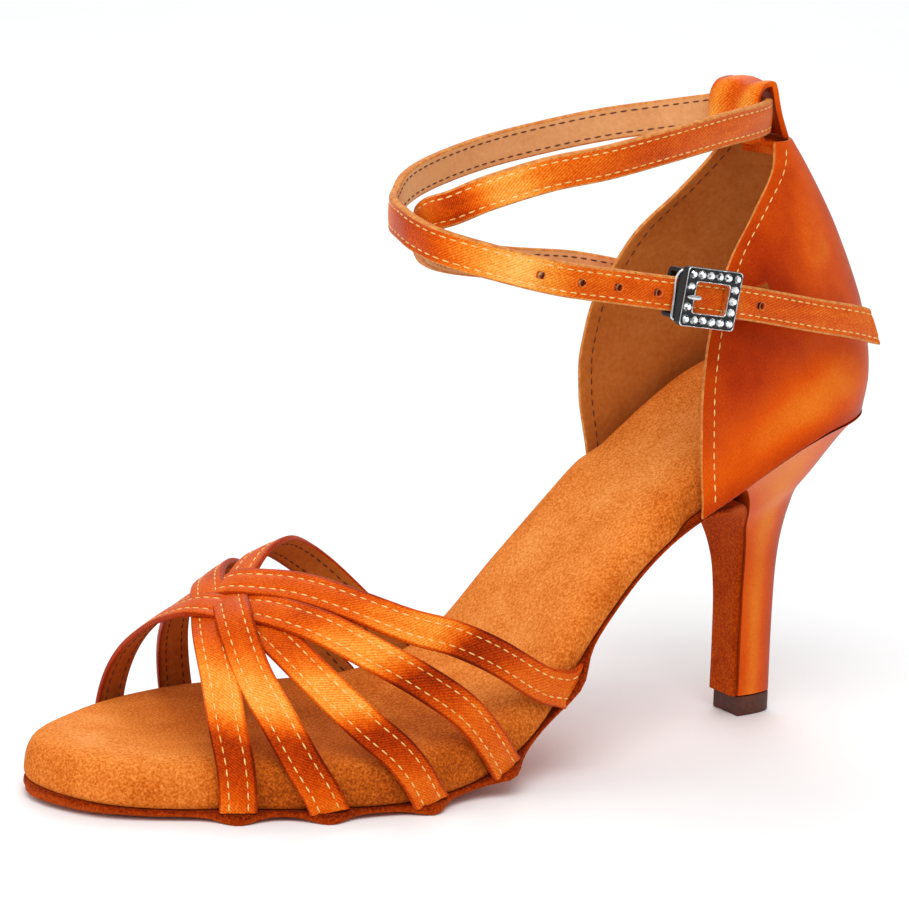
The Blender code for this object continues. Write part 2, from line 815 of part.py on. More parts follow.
def cut_from(target, tool):
    """Cut of a hidden helper from a target."""
    tool.hide_render = True
    tool.display_type = "WIRE"
    cut = target.modifiers.new("cut_" + tool.name, "BOOLEAN")
    cut.operation = "DIFFERENCE"
    cut.solver = "EXACT"
    cut.object = tool


def build_vamp():
    """Five woven toe straps, joined where they cross."""
    names = list(TOE_STRAPS)
    vamp = new_object("vamp_straps", toe_strap(TOE_STRAPS[names[0]]), SATIN)
    guides = bpy.data.collections.new("guide_straps")
    bpy.context.scene.collection.children.link(guides)
    helpers = []
    for name in names[1:]:
        helper = new_object("guide_strap_" + name, toe_strap(TOE_STRAPS[name]), SATIN)
        helper.hide_render = True
        helper.display_type = "WIRE"
        guides.objects.link(helper)
        helpers.append(helper)
    union = vamp.modifiers.new("join_straps", "BOOLEAN")
    union.operation = "UNION"
    union.solver = "EXACT"
    union.operand_type = "COLLECTION"
    union.collection = guides
    weld = vamp.modifiers.new("weld_crossings", "WELD")
    weld.merge_threshold = WELD_GAP
    return [vamp, *helpers]


def strap_height_datum():
    """Height of the ankle strap's middle inside the back loop."""
    return seam_height(0.0) + COUNTER_HEIGHT + STRAP_OVER_COUNTER


def ankle_start_x():
    """Place of the ankle strap's middle inside the back loop."""
    return COUNTER_BACK(1.0) + STRAP_IN_LOOP * LOOP_DEPTH


def ankle_points():
    """Middle line of the ankle strap and its outward directions."""
    start_x = ankle_start_x()
    datum = strap_height_datum()
    rows = []
    for forward, sideways, up in ANKLE_ROUTE:
        rows.append((start_x + forward * ANKLE_LENGTH, sideways * ANKLE_WIDTH, datum + up * ANKLE_DROP))
    points = [Vector(row) for row in resample(rows, ANKLE_STEPS)]
    outwards = []
    last = len(points) - 1
    for i in range(len(points)):
        along = points[min(i + 1, last)] - points[max(i - 1, 0)]
        out = along.cross(Vector((0.0, 0.0, 1.0)))
        out.normalize()
        outwards.append(out)
    return points, outwards


def strap_matrix(forward):
    """Matrix of a place on the strap's last run: x to the toe, y up across it, z outward."""
    points, outwards = ankle_points()
    target = ankle_start_x() + forward * ANKLE_LENGTH
    index = ANKLE_STEPS * LAST_RUN_ROW
    while points[index + 1].x > target:
        index += 1
    part = (points[index].x - target) / (points[index].x - points[index + 1].x)
    point = points[index].lerp(points[index + 1], part)
    along = (points[index] - points[index + 1]).normalized()
    out = outwards[index].lerp(outwards[index + 1], part)
    out = (out - along * out.dot(along)).normalized()
    matrix = Matrix((along, out.cross(along), out)).transposed().to_4x4()
    matrix.translation = point + out * (ANKLE_STRAP_THICKNESS / 2.0)
    return matrix


def cylinder(radius, depth, segments):
    """Closed cylinder along z, centred."""
    bm = bmesh.new()
    bmesh.ops.create_cone(
        bm, cap_ends=True, segments=segments, radius1=radius, radius2=radius, depth=depth
    )
    return bm


def build_ankle_strap():
    """One long strap with its punched holes."""
    points, outwards = ankle_points()
    inner = [point - out * (ANKLE_STRAP_THICKNESS / 2.0) for point, out in zip(points, outwards)]
    thicknesses = [ANKLE_STRAP_THICKNESS] * len(inner)
    strap = new_object("ankle_strap", ribbon(inner, outwards, ANKLE_STRAP_WIDTH, thicknesses), SATIN)
    pieces = [strap]
    for number, forward in enumerate(HOLES_FORWARD):
        punch = new_object(
            f"guide_punch_{number}", cylinder(HOLE_DIAMETER / 2.0, 4.0 * ANKLE_STRAP_THICKNESS, 10), SATIN
        )
        punch.matrix_world = strap_matrix(forward)
        cut_from(strap, punch)
        pieces.append(punch)
    punch = new_object(
        "guide_punch_prong", cylinder(PRONG_HOLE_DIAMETER / 2.0, 4.0 * ANKLE_STRAP_THICKNESS, 10), SATIN
    )
    punch.matrix_world = strap_matrix(BUCKLE_FORWARD) @ Matrix.Translation((prong_hole_x(), 0.0, 0.0))
    cut_from(strap, punch)
    pieces.append(punch)
    return pieces


def keeper_depth():
    """Depth of the keeper's slot behind the strap's outer face."""
    return ANKLE_STRAP_THICKNESS + PRONG_DIAMETER + HOLDER_THICKNESS + 5 * FIT


def prong_hole_x():
    """Distance of the prong's hole from the buckle's middle, towards the toe."""
    return BUCKLE_LENGTH / 2.0 - BUCKLE_BAR - 0.9 * PRONG_DIAMETER


def box(low, high):
    """Closed box between two corners."""
    bm = bmesh.new()
    bmesh.ops.create_cube(bm, size=1.0)
    size = Vector(high) - Vector(low)
    bmesh.ops.scale(bm, vec=size, verts=bm.verts)
    bmesh.ops.translate(bm, vec=(Vector(high) + Vector(low)) / 2.0, verts=bm.verts)
    return bm


def rounded_plate(length, height, low, high, radius):
    """Plate with rounded corners between two levels."""
    bm = box((-length / 2.0, -height / 2.0, low), (length / 2.0, height / 2.0, high))
    upright = [edge for edge in bm.edges if abs(edge.verts[0].co.z - edge.verts[1].co.z) > 1e-6]
    bmesh.ops.bevel(
        bm, geom=upright, offset=radius, segments=3, profile=0.5, affect="EDGES", material=-1
    )
    return bm


def build_buckle():
    """Square buckle with a rimmed face, a window and a keeper round the strap."""
    low = FIT
    high = FIT + BUCKLE_THICKNESS
    frame = new_object(
        "buckle_frame", rounded_plate(BUCKLE_LENGTH, BUCKLE_HEIGHT, low, high, BUCKLE_CORNER), CHROME
    )
    window = new_object(
        "guide_window",
        rounded_plate(
            BUCKLE_LENGTH - 2 * BUCKLE_BAR, BUCKLE_HEIGHT - 2 * BUCKLE_BAR, -high, 2 * high, WINDOW_CORNER
        ),
        CHROME,
    )
    recess = new_object(
        "guide_recess",
        rounded_plate(
            BUCKLE_LENGTH - 2 * BUCKLE_RIM,
            BUCKLE_HEIGHT - 2 * BUCKLE_RIM,
            high - BUCKLE_RECESS,
            2 * high,
            INNER_CORNER,
        ),
        CHROME,
    )
    ledge = new_object(
        "guide_ledge",
        rounded_plate(
            BUCKLE_LENGTH - 2 * BUCKLE_BAR + 2 * BUCKLE_RIM,
            BUCKLE_HEIGHT - 2 * BUCKLE_BAR + 2 * BUCKLE_RIM,
            low + BUCKLE_RIM,
            high,
            INNER_CORNER,
        ),
        CHROME,
    )
    slot_deep = keeper_depth()
    near_x = BUCKLE_LENGTH / 2.0 - KEEPER_LENGTH
    far_x = BUCKLE_LENGTH / 2.0
    keeper = new_object(
        "guide_keeper",
        box(
            (near_x, -BUCKLE_HEIGHT / 2.0 + BUCKLE_RIM, -slot_deep - KEEPER_WALL),
            (far_x, BUCKLE_HEIGHT / 2.0 - BUCKLE_RIM, low + KEEPER_OVERLAP),
        ),
        CHROME,
    )
    slot = new_object(
        "guide_slot",
        box(
            (near_x - SLOT_OVERRUN, -ANKLE_STRAP_WIDTH / 2.0 - 2 * FIT, -slot_deep),
            (far_x + SLOT_OVERRUN, ANKLE_STRAP_WIDTH / 2.0 + 2 * FIT, low),
        ),
        CHROME,
    )
    cut_from(frame, recess)
    join_to(frame, ledge)
    cut_from(frame, window)
    join_to(frame, keeper)
    cut_from(frame, slot)
    pieces = [frame, window, recess, ledge, keeper, slot]
    for piece in pieces:
        piece.matrix_world = strap_matrix(BUCKLE_FORWARD)
    return pieces


def crystal_places():
    """Middles of the crystals round the buckle's face, from the heel end's top corner round."""
    across = BUCKLE_LENGTH / 2.0 - BUCKLE_BAR / 2.0
    up = BUCKLE_HEIGHT / 2.0 - BUCKLE_BAR / 2.0
    places = []
    for i in range(6):
        x = -across + 2.0 * across * i / 5.0
        places.append((x, up))
        places.append((x, -up))
    for i in range(1, 4):
        places.append((-across, -up + 2.0 * up * i / 4.0))
    for share in TOE_SIDE_STONES:
        places.append((across, -up + 2.0 * up * share))
    return places


def build_crystals():
    """Round cut stones seated on the buckle's face."""
    pieces = []
    floor = FIT + BUCKLE_THICKNESS - BUCKLE_RECESS
    for number, (x, y) in enumerate(crystal_places(), start=1):
        bm = bmesh.new()
        bmesh.ops.create_cone(
            bm,
            cap_ends=True,
            segments=10,
            radius1=CRYSTAL_DIAMETER / 2.0,
            radius2=CRYSTAL_DIAMETER / 3.6,
            depth=CRYSTAL_HEIGHT,
        )
        stone = new_object(f"crystal_{number:02d}", bm, GLASS)
        height = floor + FIT + CRYSTAL_HEIGHT / 2.0
        stone.matrix_world = strap_matrix(BUCKLE_FORWARD) @ Matrix.Translation((x, y, height))
        pieces.append(stone)
    return pieces


def build_prong():
    """Bent pin from a foot under the strap, up through its hole and over the toe-side bar."""
    radius = PRONG_DIAMETER / 2.0
    hole = prong_hole_x()
    foot = -ANKLE_STRAP_THICKNESS - FIT - radius
    over = 2 * FIT + BUCKLE_THICKNESS + radius
    end = BUCKLE_LENGTH / 2.0 - 0.1 * BUCKLE_BAR
    bend = 0.4 * PRONG_DIAMETER
    route = (
        (hole - PRONG_FOOT, foot),
        (hole - 2 * bend, foot),
        (hole - 0.6 * bend, foot + 0.6 * bend),
        (hole, foot + 2 * bend),
        (hole, over - 2 * bend),
        (hole + 0.6 * bend, over - 0.6 * bend),
        (hole + 2 * bend, over),
        (end, over),
    )
    bm = bmesh.new()
    rings = []
    last = len(route) - 1
    for i, (x, z) in enumerate(route):
        ahead = Vector(route[min(i + 1, last)]) - Vector(route[max(i - 1, 0)])
        ahead.normalize()
        normal = Vector((-ahead.y, ahead.x))
        thin = PRONG_TIP_SHARE if i == last else 1.0
        ring = []
        for k in range(8):
            angle = math.tau * k / 8.0
            offset = normal * math.cos(angle) * radius * thin
            side = math.sin(angle) * radius * thin
            ring.append(bm.verts.new((x + offset.x, side, z + offset.y)))
        rings.append(ring)
    for lower, upper in zip(rings, rings[1:]):
        for k in range(8):
            m = (k + 1) % 8
            bm.faces.new((lower[k], lower[m], upper[m], upper[k]))
    bm.faces.new(rings[0])
    bm.faces.new(rings[-1])
    prong = new_object("buckle_prong", bm, CHROME)
    prong.matrix_world = strap_matrix(BUCKLE_FORWARD)
    return prong


def build_holder():
    """Short strap from the outer quarter that carries the buckle, folded round the keeper's bar."""
    matrix = strap_matrix(BUCKLE_FORWARD)
    upper = -ANKLE_STRAP_THICKNESS - PRONG_DIAMETER - 3 * FIT - HOLDER_THICKNESS / 2.0
    lower = -keeper_depth() - KEEPER_WALL - FIT - HOLDER_THICKNESS / 2.0
    end = BUCKLE_LENGTH / 2.0 + FIT
    fold = (upper - lower) / 2.0
    local = [(end - KEEPER_LENGTH - SLOT_OVERRUN, lower), (end - KEEPER_LENGTH, lower)]
    for i in range(7):
        angle = math.pi * (i / 6.0 - 0.5)
        local.append((end + fold * math.cos(angle), (upper + lower) / 2.0 + fold * math.sin(angle)))
    local.extend([(end - KEEPER_LENGTH, upper), (end - 2.0 * KEEPER_LENGTH, upper)])
    points = [matrix @ Vector((x, 0.0, z)) for x, z in local]
    up = matrix.to_3x3().col[1].normalized()
    ups = [up] * len(points)
    clear = TOPLINE_RISE + FIT + HOLDER_THICKNESS / 2.0
    for turn in HOLDER_LANDING:
        place, out, wall_up = counter_frame(turn, HOLDER_HEIGHT_SHARE)
        points.append(place + out * clear)
        ups.append(wall_up)
    outwards = []
    last = len(points) - 1
    for i, across in enumerate(ups):
        along = points[min(i + 1, last)] - points[max(i - 1, 0)]
        outwards.append(across.cross(along).normalized())
    inner = [point - out * (HOLDER_THICKNESS / 2.0) for point, out in zip(points, outwards)]
    thicknesses = [HOLDER_THICKNESS] * len(inner)
    return new_object("buckle_holder", ribbon(inner, outwards, HOLDER_WIDTH, thicknesses), SATIN)


def build_back_loop():
    """Satin tab that rises from the counter, folds forward over the strap and ends inside."""
    rows = resample(LOOP_ROUTE, 2)
    start_x = COUNTER_BACK(1.0)
    start_z = seam_height(0.0) + COUNTER_HEIGHT + FIT
    outer = []
    inner = []
    last = len(rows) - 1
    for i, (forward, up, bend) in enumerate(rows):
        before = rows[max(i - 1, 0)]
        after = rows[min(i + 1, last)]
        along = Vector(((after[0] - before[0]) * LOOP_DEPTH, (after[1] - before[1]) * LOOP_HEIGHT))
        along.normalize()
        out = Vector((-along.y, 0.0, along.x)) if i else Vector((-1.0, 0.0, 0.0))
        middle = Vector((start_x + forward * LOOP_DEPTH, 0.0, start_z + up * LOOP_HEIGHT))
        turned = LOOP_TURN * smoothstep(*LOOP_TURN_FADE, forward)
        across = Vector((-math.sin(turned), math.cos(turned), 0.0))
        outer_row = []
        inner_row = []
        for k in range(LOOP_COLUMNS + 1):
            share = -1.0 + 2.0 * k / LOOP_COLUMNS
            point = middle + across * (share * LOOP_WIDTH / 2.0)
            point.x += bend * share * share
            outer_row.append(point)
            inner_row.append(point - out * LOOP_THICKNESS)
        outer.append(outer_row)
        inner.append(inner_row)
    return new_object("back_loop", closed_sheet(outer, inner), SATIN)


def centre_on_box(pieces):
    """Parent the pieces to an empty that puts the middle of their common box over the origin."""
    bpy.context.view_layer.update()
    graph = bpy.context.evaluated_depsgraph_get()
    corners = []
    for piece in pieces:
        if not piece.hide_render:
            shown = piece.evaluated_get(graph)
            corners.extend(piece.matrix_world @ vert.co for vert in shown.data.vertices)
    low = [min(corner[k] for corner in corners) for k in range(3)]
    high = [max(corner[k] for corner in corners) for k in range(3)]
    datum = bpy.data.objects.new("shoe_datum", None)
    bpy.context.scene.collection.objects.link(datum)
    for piece in pieces:
        piece.parent = datum
    datum.location = (-(low[0] + high[0]) / 2.0, -(low[1] + high[1]) / 2.0, -low[2])


def main():
    """Build every piece and centre the whole over its own box."""
    for obj in list(bpy.data.objects):
        bpy.data.objects.remove(obj, do_unlink=True)
    pieces = [build_outsole(), build_insole(), build_heel(), build_heel_tap(), build_counter()]
    pieces.extend(build_vamp())
    pieces.extend(build_ankle_strap())
    pieces.append(build_back_loop())
    pieces.extend(build_buckle())
    pieces.extend(build_crystals())
    pieces.append(build_prong())
    pieces.append(build_holder())
    centre_on_box(pieces)


main()
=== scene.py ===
"""Dressed model of a left ballroom dance sandal in orange satin and suede.

The shoe is worked out with x from the back of the heel seat to the toe, y towards the outer side of the
foot and z up from the floor, in metres. DATUM moves every point to its place in the frame.
"""

import logging
import math
import random
from dataclasses import dataclass, field
from enum import Enum
from typing import Callable, Sequence

import bmesh
import bpy
import numpy as np
from mathutils import Matrix, Vector, noise


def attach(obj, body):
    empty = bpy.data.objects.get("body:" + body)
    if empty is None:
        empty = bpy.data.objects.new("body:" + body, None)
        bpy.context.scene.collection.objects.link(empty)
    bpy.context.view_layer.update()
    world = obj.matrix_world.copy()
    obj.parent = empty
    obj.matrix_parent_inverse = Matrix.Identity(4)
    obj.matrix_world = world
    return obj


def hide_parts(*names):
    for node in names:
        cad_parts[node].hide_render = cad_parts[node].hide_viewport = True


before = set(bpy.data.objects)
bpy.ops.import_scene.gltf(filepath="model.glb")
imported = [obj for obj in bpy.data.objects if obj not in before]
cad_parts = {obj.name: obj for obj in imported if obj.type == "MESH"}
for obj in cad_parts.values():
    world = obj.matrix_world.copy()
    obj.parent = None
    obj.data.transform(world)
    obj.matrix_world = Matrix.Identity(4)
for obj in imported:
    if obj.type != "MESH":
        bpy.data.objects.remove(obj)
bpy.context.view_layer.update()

LOG = logging.getLogger("dance_sandal")

# From the zero of the shoe's stations to the frame's own zero
DATUM = Vector((-0.110431, 0.001348, 0.0))
# Room between pieces that lie on each other
FIT = 0.0003
UP = Vector((0.0, 0.0, 1.0))
SMALL = 1e-6

# Angles in degrees over which an edge stays crisp: hard goods, sheets of cloth, rolled suede, metal, glass
CREASE = 50.0
SHEET_CREASE = 60.0
SUEDE_CREASE = 80.0
METAL_CREASE = 70.0
GLASS_CREASE = 10.0

# Tint with neither painted shade nor painted highlight, and the value that every noise swings round
PLAIN_TINT = 0.5
NOISE_MIDDLE = 0.5
# Phase that the wave texture runs through in one unit of length
WAVE_PHASE = 10.0
# How far a stitch's middle line lies off the satin, the lining and both faces of the counter
THREAD_PROUD = 0.00005
LINING_THREAD_PROUD = 0.00003
WALL_THREAD_PROUD = 0.00004
# Angle over which the edge of a thickened sheet is rounded, and its rounding
RIM_ANGLE = 55.0
SHEET_RIM = 0.0003
# Point in the middle of the shoe that the lamps look at
OVER_SHOE = (0.0, 0.0, 0.06)

Table = Sequence[tuple[float, ...]]
Place = Callable[[int, int], Vector]
Pick = Callable[[int, int], float]

# Half breadths of the sole as shares of a width: (station, outer side, inner side, width)
BALL_WIDTH = 0.078
WAIST_WIDTH = 0.044
SEAT_WIDTH = 0.053
PLAN = (
    (0.033, 0.000, 0.000, SEAT_WIDTH),
    (0.052, 0.290, 0.280, SEAT_WIDTH),
    (0.085, 0.415, 0.410, SEAT_WIDTH),
    (0.138, 0.490, 0.494, SEAT_WIDTH),
    (0.220, 0.492, 0.481, SEAT_WIDTH),
    (0.370, 0.551, 0.450, WAIST_WIDTH),
    (0.480, 0.382, 0.278, BALL_WIDTH),
    (0.570, 0.451, 0.354, BALL_WIDTH),
    (0.630, 0.479, 0.436, BALL_WIDTH),
    (0.690, 0.487, 0.505, BALL_WIDTH),
    (0.770, 0.431, 0.522, BALL_WIDTH),
    (0.855, 0.325, 0.470, BALL_WIDTH),
    (0.920, 0.240, 0.378, BALL_WIDTH),
    (0.965, 0.154, 0.282, BALL_WIDTH),
    (1.000, -0.090, 0.090, BALL_WIDTH),
)

# Rise of the sole's upper face over the ball, as shares of the seat's rise: (station, rise)
RISE = (
    (0.00, 1.034),
    (0.05, 1.024),
    (0.09, 1.009),
    (0.13, 0.990),
    (0.16, 0.957),
    (0.24, 0.825),
    (0.33, 0.655),
    (0.42, 0.404),
    (0.50, 0.145),
    (0.58, 0.0325),
    (0.62, 0.0113),
    (0.66, 0.000),
    (0.74, 0.000),
    (0.86, 0.000),
    (0.93, 0.004),
    (1.00, 0.020),
)

# Front of the heel from the tap to the lip: (share, forward, up)
BREAST = (
    (0.00, 0.000, 0.000),
    (0.20, 0.004, 0.240),
    (0.40, 0.013, 0.474),
    (0.55, 0.043, 0.650),
    (0.65, 0.102, 0.767),
    (0.75, 0.209, 0.871),
    (0.85, 0.417, 0.968),
    (0.93, 0.660, 1.008),
    (1.00, 1.000, 1.000),
)

# Flare of the heel from tap to seat: (share of height, share of the way out to the seat)
FLARE = (
    (0.00, 0.000),
    (0.20, -0.004),
    (0.32, 0.000),
    (0.44, 0.015),
    (0.545, 0.055),
    (0.647, 0.135),
    (0.741, 0.260),
    (0.813, 0.470),
    (0.920, 0.790),
    (1.00, 1.000),
)

# Padded sock's edge from its underside round to the top: (inset, height) as shares of its thickness
SOCK_EDGE = (
    (0.07, 0.00),
    (0.01, 0.10),
    (0.01, 0.30),
    (0.06, 0.58),
    (0.19, 0.82),
    (0.42, 0.95),
    (0.78, 1.00),
)

# Counter: (share of its height, of quarter reach at back, of quarter reach at front, of quarter width)
COUNTER = (
    (-0.26, 0.125, 0.972, 0.482),
    (0.00, 0.112, 0.996, 0.500),
    (0.12, 0.076, 1.000, 0.500),
    (0.22, 0.064, 0.990, 0.489),
    (0.35, 0.084, 0.965, 0.469),
    (0.485, 0.134, 0.906, 0.424),
    (0.61, 0.192, 0.840, 0.381),
    (0.77, 0.276, 0.700, 0.303),
    (0.92, 0.374, 0.588, 0.236),
    (1.00, 0.428, 0.560, 0.186),
)

# Ridge of the last under the toe straps: station, sideways share of ball width, height share of instep
RIDGE = (
    (0.42, 0.000, 1.085),
    (0.55, -0.038, 0.942),
    (0.66, -0.070, 0.758),
    (0.72, -0.090, 0.676),
    (0.775, -0.077, 0.576),
    (0.84, -0.064, 0.482),
    (0.90, -0.064, 0.400),
)

# Toe straps from the outer edge of the sole to the inner edge: (station, share of the way over, layers)
TOE_STRAPS = {
    "front": (
        (0.846, 0.00, 0.0),
        (0.846, 0.10, 0.0),
        (0.845, 0.20, 0.0),
        (0.835, 0.31, 0.1),
        (0.822, 0.40, 0.6),
        (0.805, 0.47, 1.0),
        (0.779, 0.55, 2.0),
        (0.745, 0.64, 1.4),
        (0.695, 0.75, 0.4),
        (0.645, 0.85, 0.0),
        (0.600, 0.93, 0.0),
        (0.560, 1.00, 0.0),
    ),
    "second": (
        (0.762, 0.00, 0.0),
        (0.785, 0.09, 0.0),
        (0.799, 0.18, 0.0),
        (0.806, 0.27, 0.1),
        (0.803, 0.34, 0.8),
        (0.793, 0.41, 2.0),
        (0.772, 0.49, 1.0),
        (0.738, 0.54, 0.5),
        (0.690, 0.62, 0.1),
        (0.640, 0.73, 0.0),
        (0.590, 0.83, 0.0),
        (0.540, 0.92, 0.0),
        (0.495, 1.00, 0.0),
    ),
    "middle": (
        (0.655, 0.00, 0.0),
        (0.686, 0.07, 0.0),
        (0.719, 0.13, 0.0),
        (0.745, 0.20, 0.0),
        (0.763, 0.28, 0.0),
        (0.775, 0.38, 0.0),
        (0.778, 0.48, 0.0),
        (0.765, 0.60, 0.0),
        (0.735, 0.73, 0.0),
        (0.700, 0.85, 0.0),
        (0.660, 1.00, 0.0),
    ),
    "fourth": (
        (0.555, 0.00, 0.0),
        (0.600, 0.09, 0.0),
        (0.650, 0.165, 0.0),
        (0.700, 0.24, 0.2),
        (0.738, 0.32, 0.8),
        (0.768, 0.40, 1.0),
        (0.787, 0.44, 1.1),
        (0.806, 0.50, 2.0),
        (0.818, 0.58, 1.0),
        (0.824, 0.68, 0.1),
        (0.828, 0.79, 0.0),
        (0.830, 0.90, 0.0),
        (0.830, 1.00, 0.0),
    ),
    "fifth": (
        (0.460, 0.00, 0.0),
        (0.535, 0.11, 0.0),
        (0.598, 0.19, 0.0),
        (0.650, 0.25, 0.0),
        (0.700, 0.33, 0.3),
        (0.740, 0.42, 1.2),
        (0.765, 0.49, 2.0),
        (0.780, 0.56, 1.0),
        (0.782, 0.66, 0.3),
        (0.769, 0.77, 0.0),
        (0.753, 0.89, 0.0),
        (0.738, 1.00, 0.0),
    ),
}

# Ankle strap from the inner quarter, round the front, through the loop, round again, to its tail
# (share of ankle length forward of the loop, of ankle width sideways, of ankle drop above the loop)
ANKLE_ROUTE = (
    (0.155, -0.420, -1.095),
    (0.220, -0.458, -1.060),
    (0.300, -0.485, -1.025),
    (0.465, -0.480, -0.975),
    (0.670, -0.375, -0.872),
    (0.790, -0.240, -0.762),
    (0.865, -0.110, -0.655),
    (0.915, 0.000, -0.562),
    (0.940, 0.080, -0.500),
    (0.940, 0.155, -0.430),
    (0.920, 0.235, -0.375),
    (0.865, 0.330, -0.275),
    (0.750, 0.415, -0.170),
    (0.605, 0.440, -0.117),
    (0.430, 0.400, -0.062),
    (0.220, 0.285, -0.027),
    (0.085, 0.185, -0.022),
    (0.015, 0.100, -0.022),
    (0.000, 0.020, -0.032),
    (0.020, -0.070, -0.008),
    (0.060, -0.140, -0.043),
    (0.135, -0.300, -0.113),
    (0.235, -0.410, -0.170),
    (0.380, -0.470, -0.240),
    (0.550, -0.470, -0.310),
    (0.715, -0.395, -0.376),
    (0.825, -0.300, -0.428),
    (0.899, -0.185, -0.485),
    (0.950, -0.070, -0.492),
    (0.980, 0.060, -0.502),
    (0.988, 0.170, -0.532),
    (0.967, 0.300, -0.575),
    (0.870, 0.425, -0.648),
    (0.740, 0.485, -0.732),
    (0.590, 0.500, -0.800),
    (0.470, 0.500, -0.855),
    (0.350, 0.492, -0.906),
    (0.190, 0.462, -0.990),
    (-0.005, 0.409, -1.105),
    (-0.124, 0.370, -1.172),
    (-0.201, 0.335, -1.226),
)

# Back loop: (forward share of its depth, up share of its height, forward bend of its edges)
LOOP_ROUTE = (
    (0.000, 0.000, 0.0030),
    (0.110, 0.300, 0.0030),
    (0.230, 0.600, 0.0026),
    (0.360, 0.860, 0.0018),
    (0.520, 0.985, 0.0008),
    (0.720, 1.000, 0.0003),
    (0.900, 0.920, 0.0000),
    (1.000, 0.700, 0.0000),
    (0.990, 0.350, 0.0000),
    (0.940, 0.020, 0.0000),
    (0.780, -0.130, 0.0003),
    (0.520, -0.150, 0.0012),
    (0.260, -0.210, 0.0026),
    (0.160, -0.400, 0.0030),
)


class Curve:
    """A smooth curve through one column of a short table."""

    def __init__(self, at: Sequence[float], values: Sequence[float]) -> None:
        """Keep the points and work out a slope at each.

        Args:
            at: Places of the points, rising.
            values: Value at each place.
        """
        self.at = np.array(at, float)
        self.values = np.array(values, float)
        self.slopes = np.gradient(self.values, self.at)

    def __call__(self, where: float) -> float:
        """Read the curve.

        Args:
            where: Place along the curve.

        Returns:
            The value there.
        """
        index = int(np.clip(np.searchsorted(self.at, where) - 1, 0, len(self.at) - 2))
        step = self.at[index + 1] - self.at[index]
        t = (where - self.at[index]) / step
        start = (2 * t**3 - 3 * t**2 + 1) * self.values[index]
        start += (t**3 - 2 * t**2 + t) * step * self.slopes[index]
        end = (3 * t**2 - 2 * t**3) * self.values[index + 1]
        end += (t**3 - t**2) * step * self.slopes[index + 1]
        return float(start + end)


def column(rows: Table, index: int, scale: float = 1.0) -> Curve:
    """Smooth curve of one column over the first column.

    Args:
        rows: The table.
        index: Column to read.
        scale: Length that the column's shares are of.

    Returns:
        The curve.
    """
    return Curve([row[0] for row in rows], [row[index] * scale for row in rows])


def resample(rows: Table, steps: int) -> list[list[float]]:
    """Make a table denser along a smooth curve through all its columns.

    Args:
        rows: The table.
        steps: New rows for each old one.

    Returns:
        The denser table.
    """
    places = list(range(len(rows)))
    curves = [Curve(places, [row[k] for row in rows]) for k in range(len(rows[0]))]
    return [[curve(i / steps) for curve in curves] for i in range((len(rows) - 1) * steps + 1)]


def smoothstep(low: float, high: float, value: float) -> float:
    """Ease from 0 at low to 1 at high.

    Args:
        low: Where it leaves 0.
        high: Where it reaches 1.
        value: Where it is read.

    Returns:
        The eased share.
    """
    t = min(max((value - low) / (high - low), 0.0), 1.0)
    return t * t * (3.0 - 2.0 * t)


def heading(points: Sequence[Vector], index: int) -> Vector:
    """Direction of a line at one of its points, from the point before to the point after."""
    return points[min(index + 1, len(points) - 1)] - points[max(index - 1, 0)]


def bell(value: float, centre: float, spread: float) -> float:
    """Soft bump of height 1 round a centre."""
    return math.exp(-(((value - centre) / spread) ** 2))


def bells(value: float, rows: Table) -> float:
    """Sum of bells, each given by its height, its centre and its spread."""
    return sum(height * bell(value, centre, spread) for height, centre, spread in rows)


def streak(arc: float, across: float, waves: tuple[float, float], layer: float) -> float:
    """Smooth noise over a strap, with so many waves per metre along and across it."""
    return noise.noise(Vector((arc * waves[0], across * waves[1], layer)))


def ripple(point: Vector, size: float) -> float:
    """Smooth noise between -1 and 1 whose lumps measure about size."""
    return noise.noise(point / size)


def linear(colour: str) -> tuple[float, float, float, float]:
    """Turn an sRGB hex colour into linear light.

    Args:
        colour: Six hex digits after a hash.

    Returns:
        Red, green, blue and a full alpha.
    """
    channels = []
    for start in (1, 3, 5):
        value = int(colour[start : start + 2], 16) / 255.0
        channels.append(value / 12.92 if value <= 0.04045 else ((value + 0.055) / 1.055) ** 2.4)
    return (*channels, 1.0)


def add_node(
    tree: bpy.types.NodeTree, kind: str, settings: dict | None = None, links: dict | None = None
) -> bpy.types.Node:
    """Add a node with its settings and links.

    Args:
        tree: Node tree that takes it.
        kind: Blender's name for the node.
        settings: Values by property name, or by the name or number of an input.
        links: Output sockets by the name or number of an input.

    Returns:
        The node.
    """
    node = tree.nodes.new(kind)
    for name, value in (settings or {}).items():
        if isinstance(name, str) and hasattr(node, name):
            setattr(node, name, value)
        else:
            node.inputs[name].default_value = value
    for name, source in (links or {}).items():
        tree.links.new(source, node.inputs[name])
    return node


def new_tree(name: str) -> tuple[bpy.types.Material, bpy.types.NodeTree]:
    """Start a material with an empty node tree.

    Args:
        name: Name of the material.

    Returns:
        The material and its tree.
    """
    material = bpy.data.materials.new(name)
    material.use_nodes = True
    material.node_tree.nodes.clear()
    return material, material.node_tree


def close_tree(
    tree: bpy.types.NodeTree, settings: dict, links: dict, bump: bpy.types.Node | None = None
) -> None:
    """Finish a tree with its shader and output.

    Args:
        tree: The tree.
        settings: Values on the shader's own sockets.
        links: Sockets linked into the shader.
        bump: Node that gives the shader its relief.
    """
    if bump is not None:
        links = {**links, "Normal": bump.outputs["Normal"]}
    shader = add_node(tree, "ShaderNodeBsdfPrincipled", settings, links)
    add_node(tree, "ShaderNodeOutputMaterial", None, {"Surface": shader.outputs["BSDF"]})


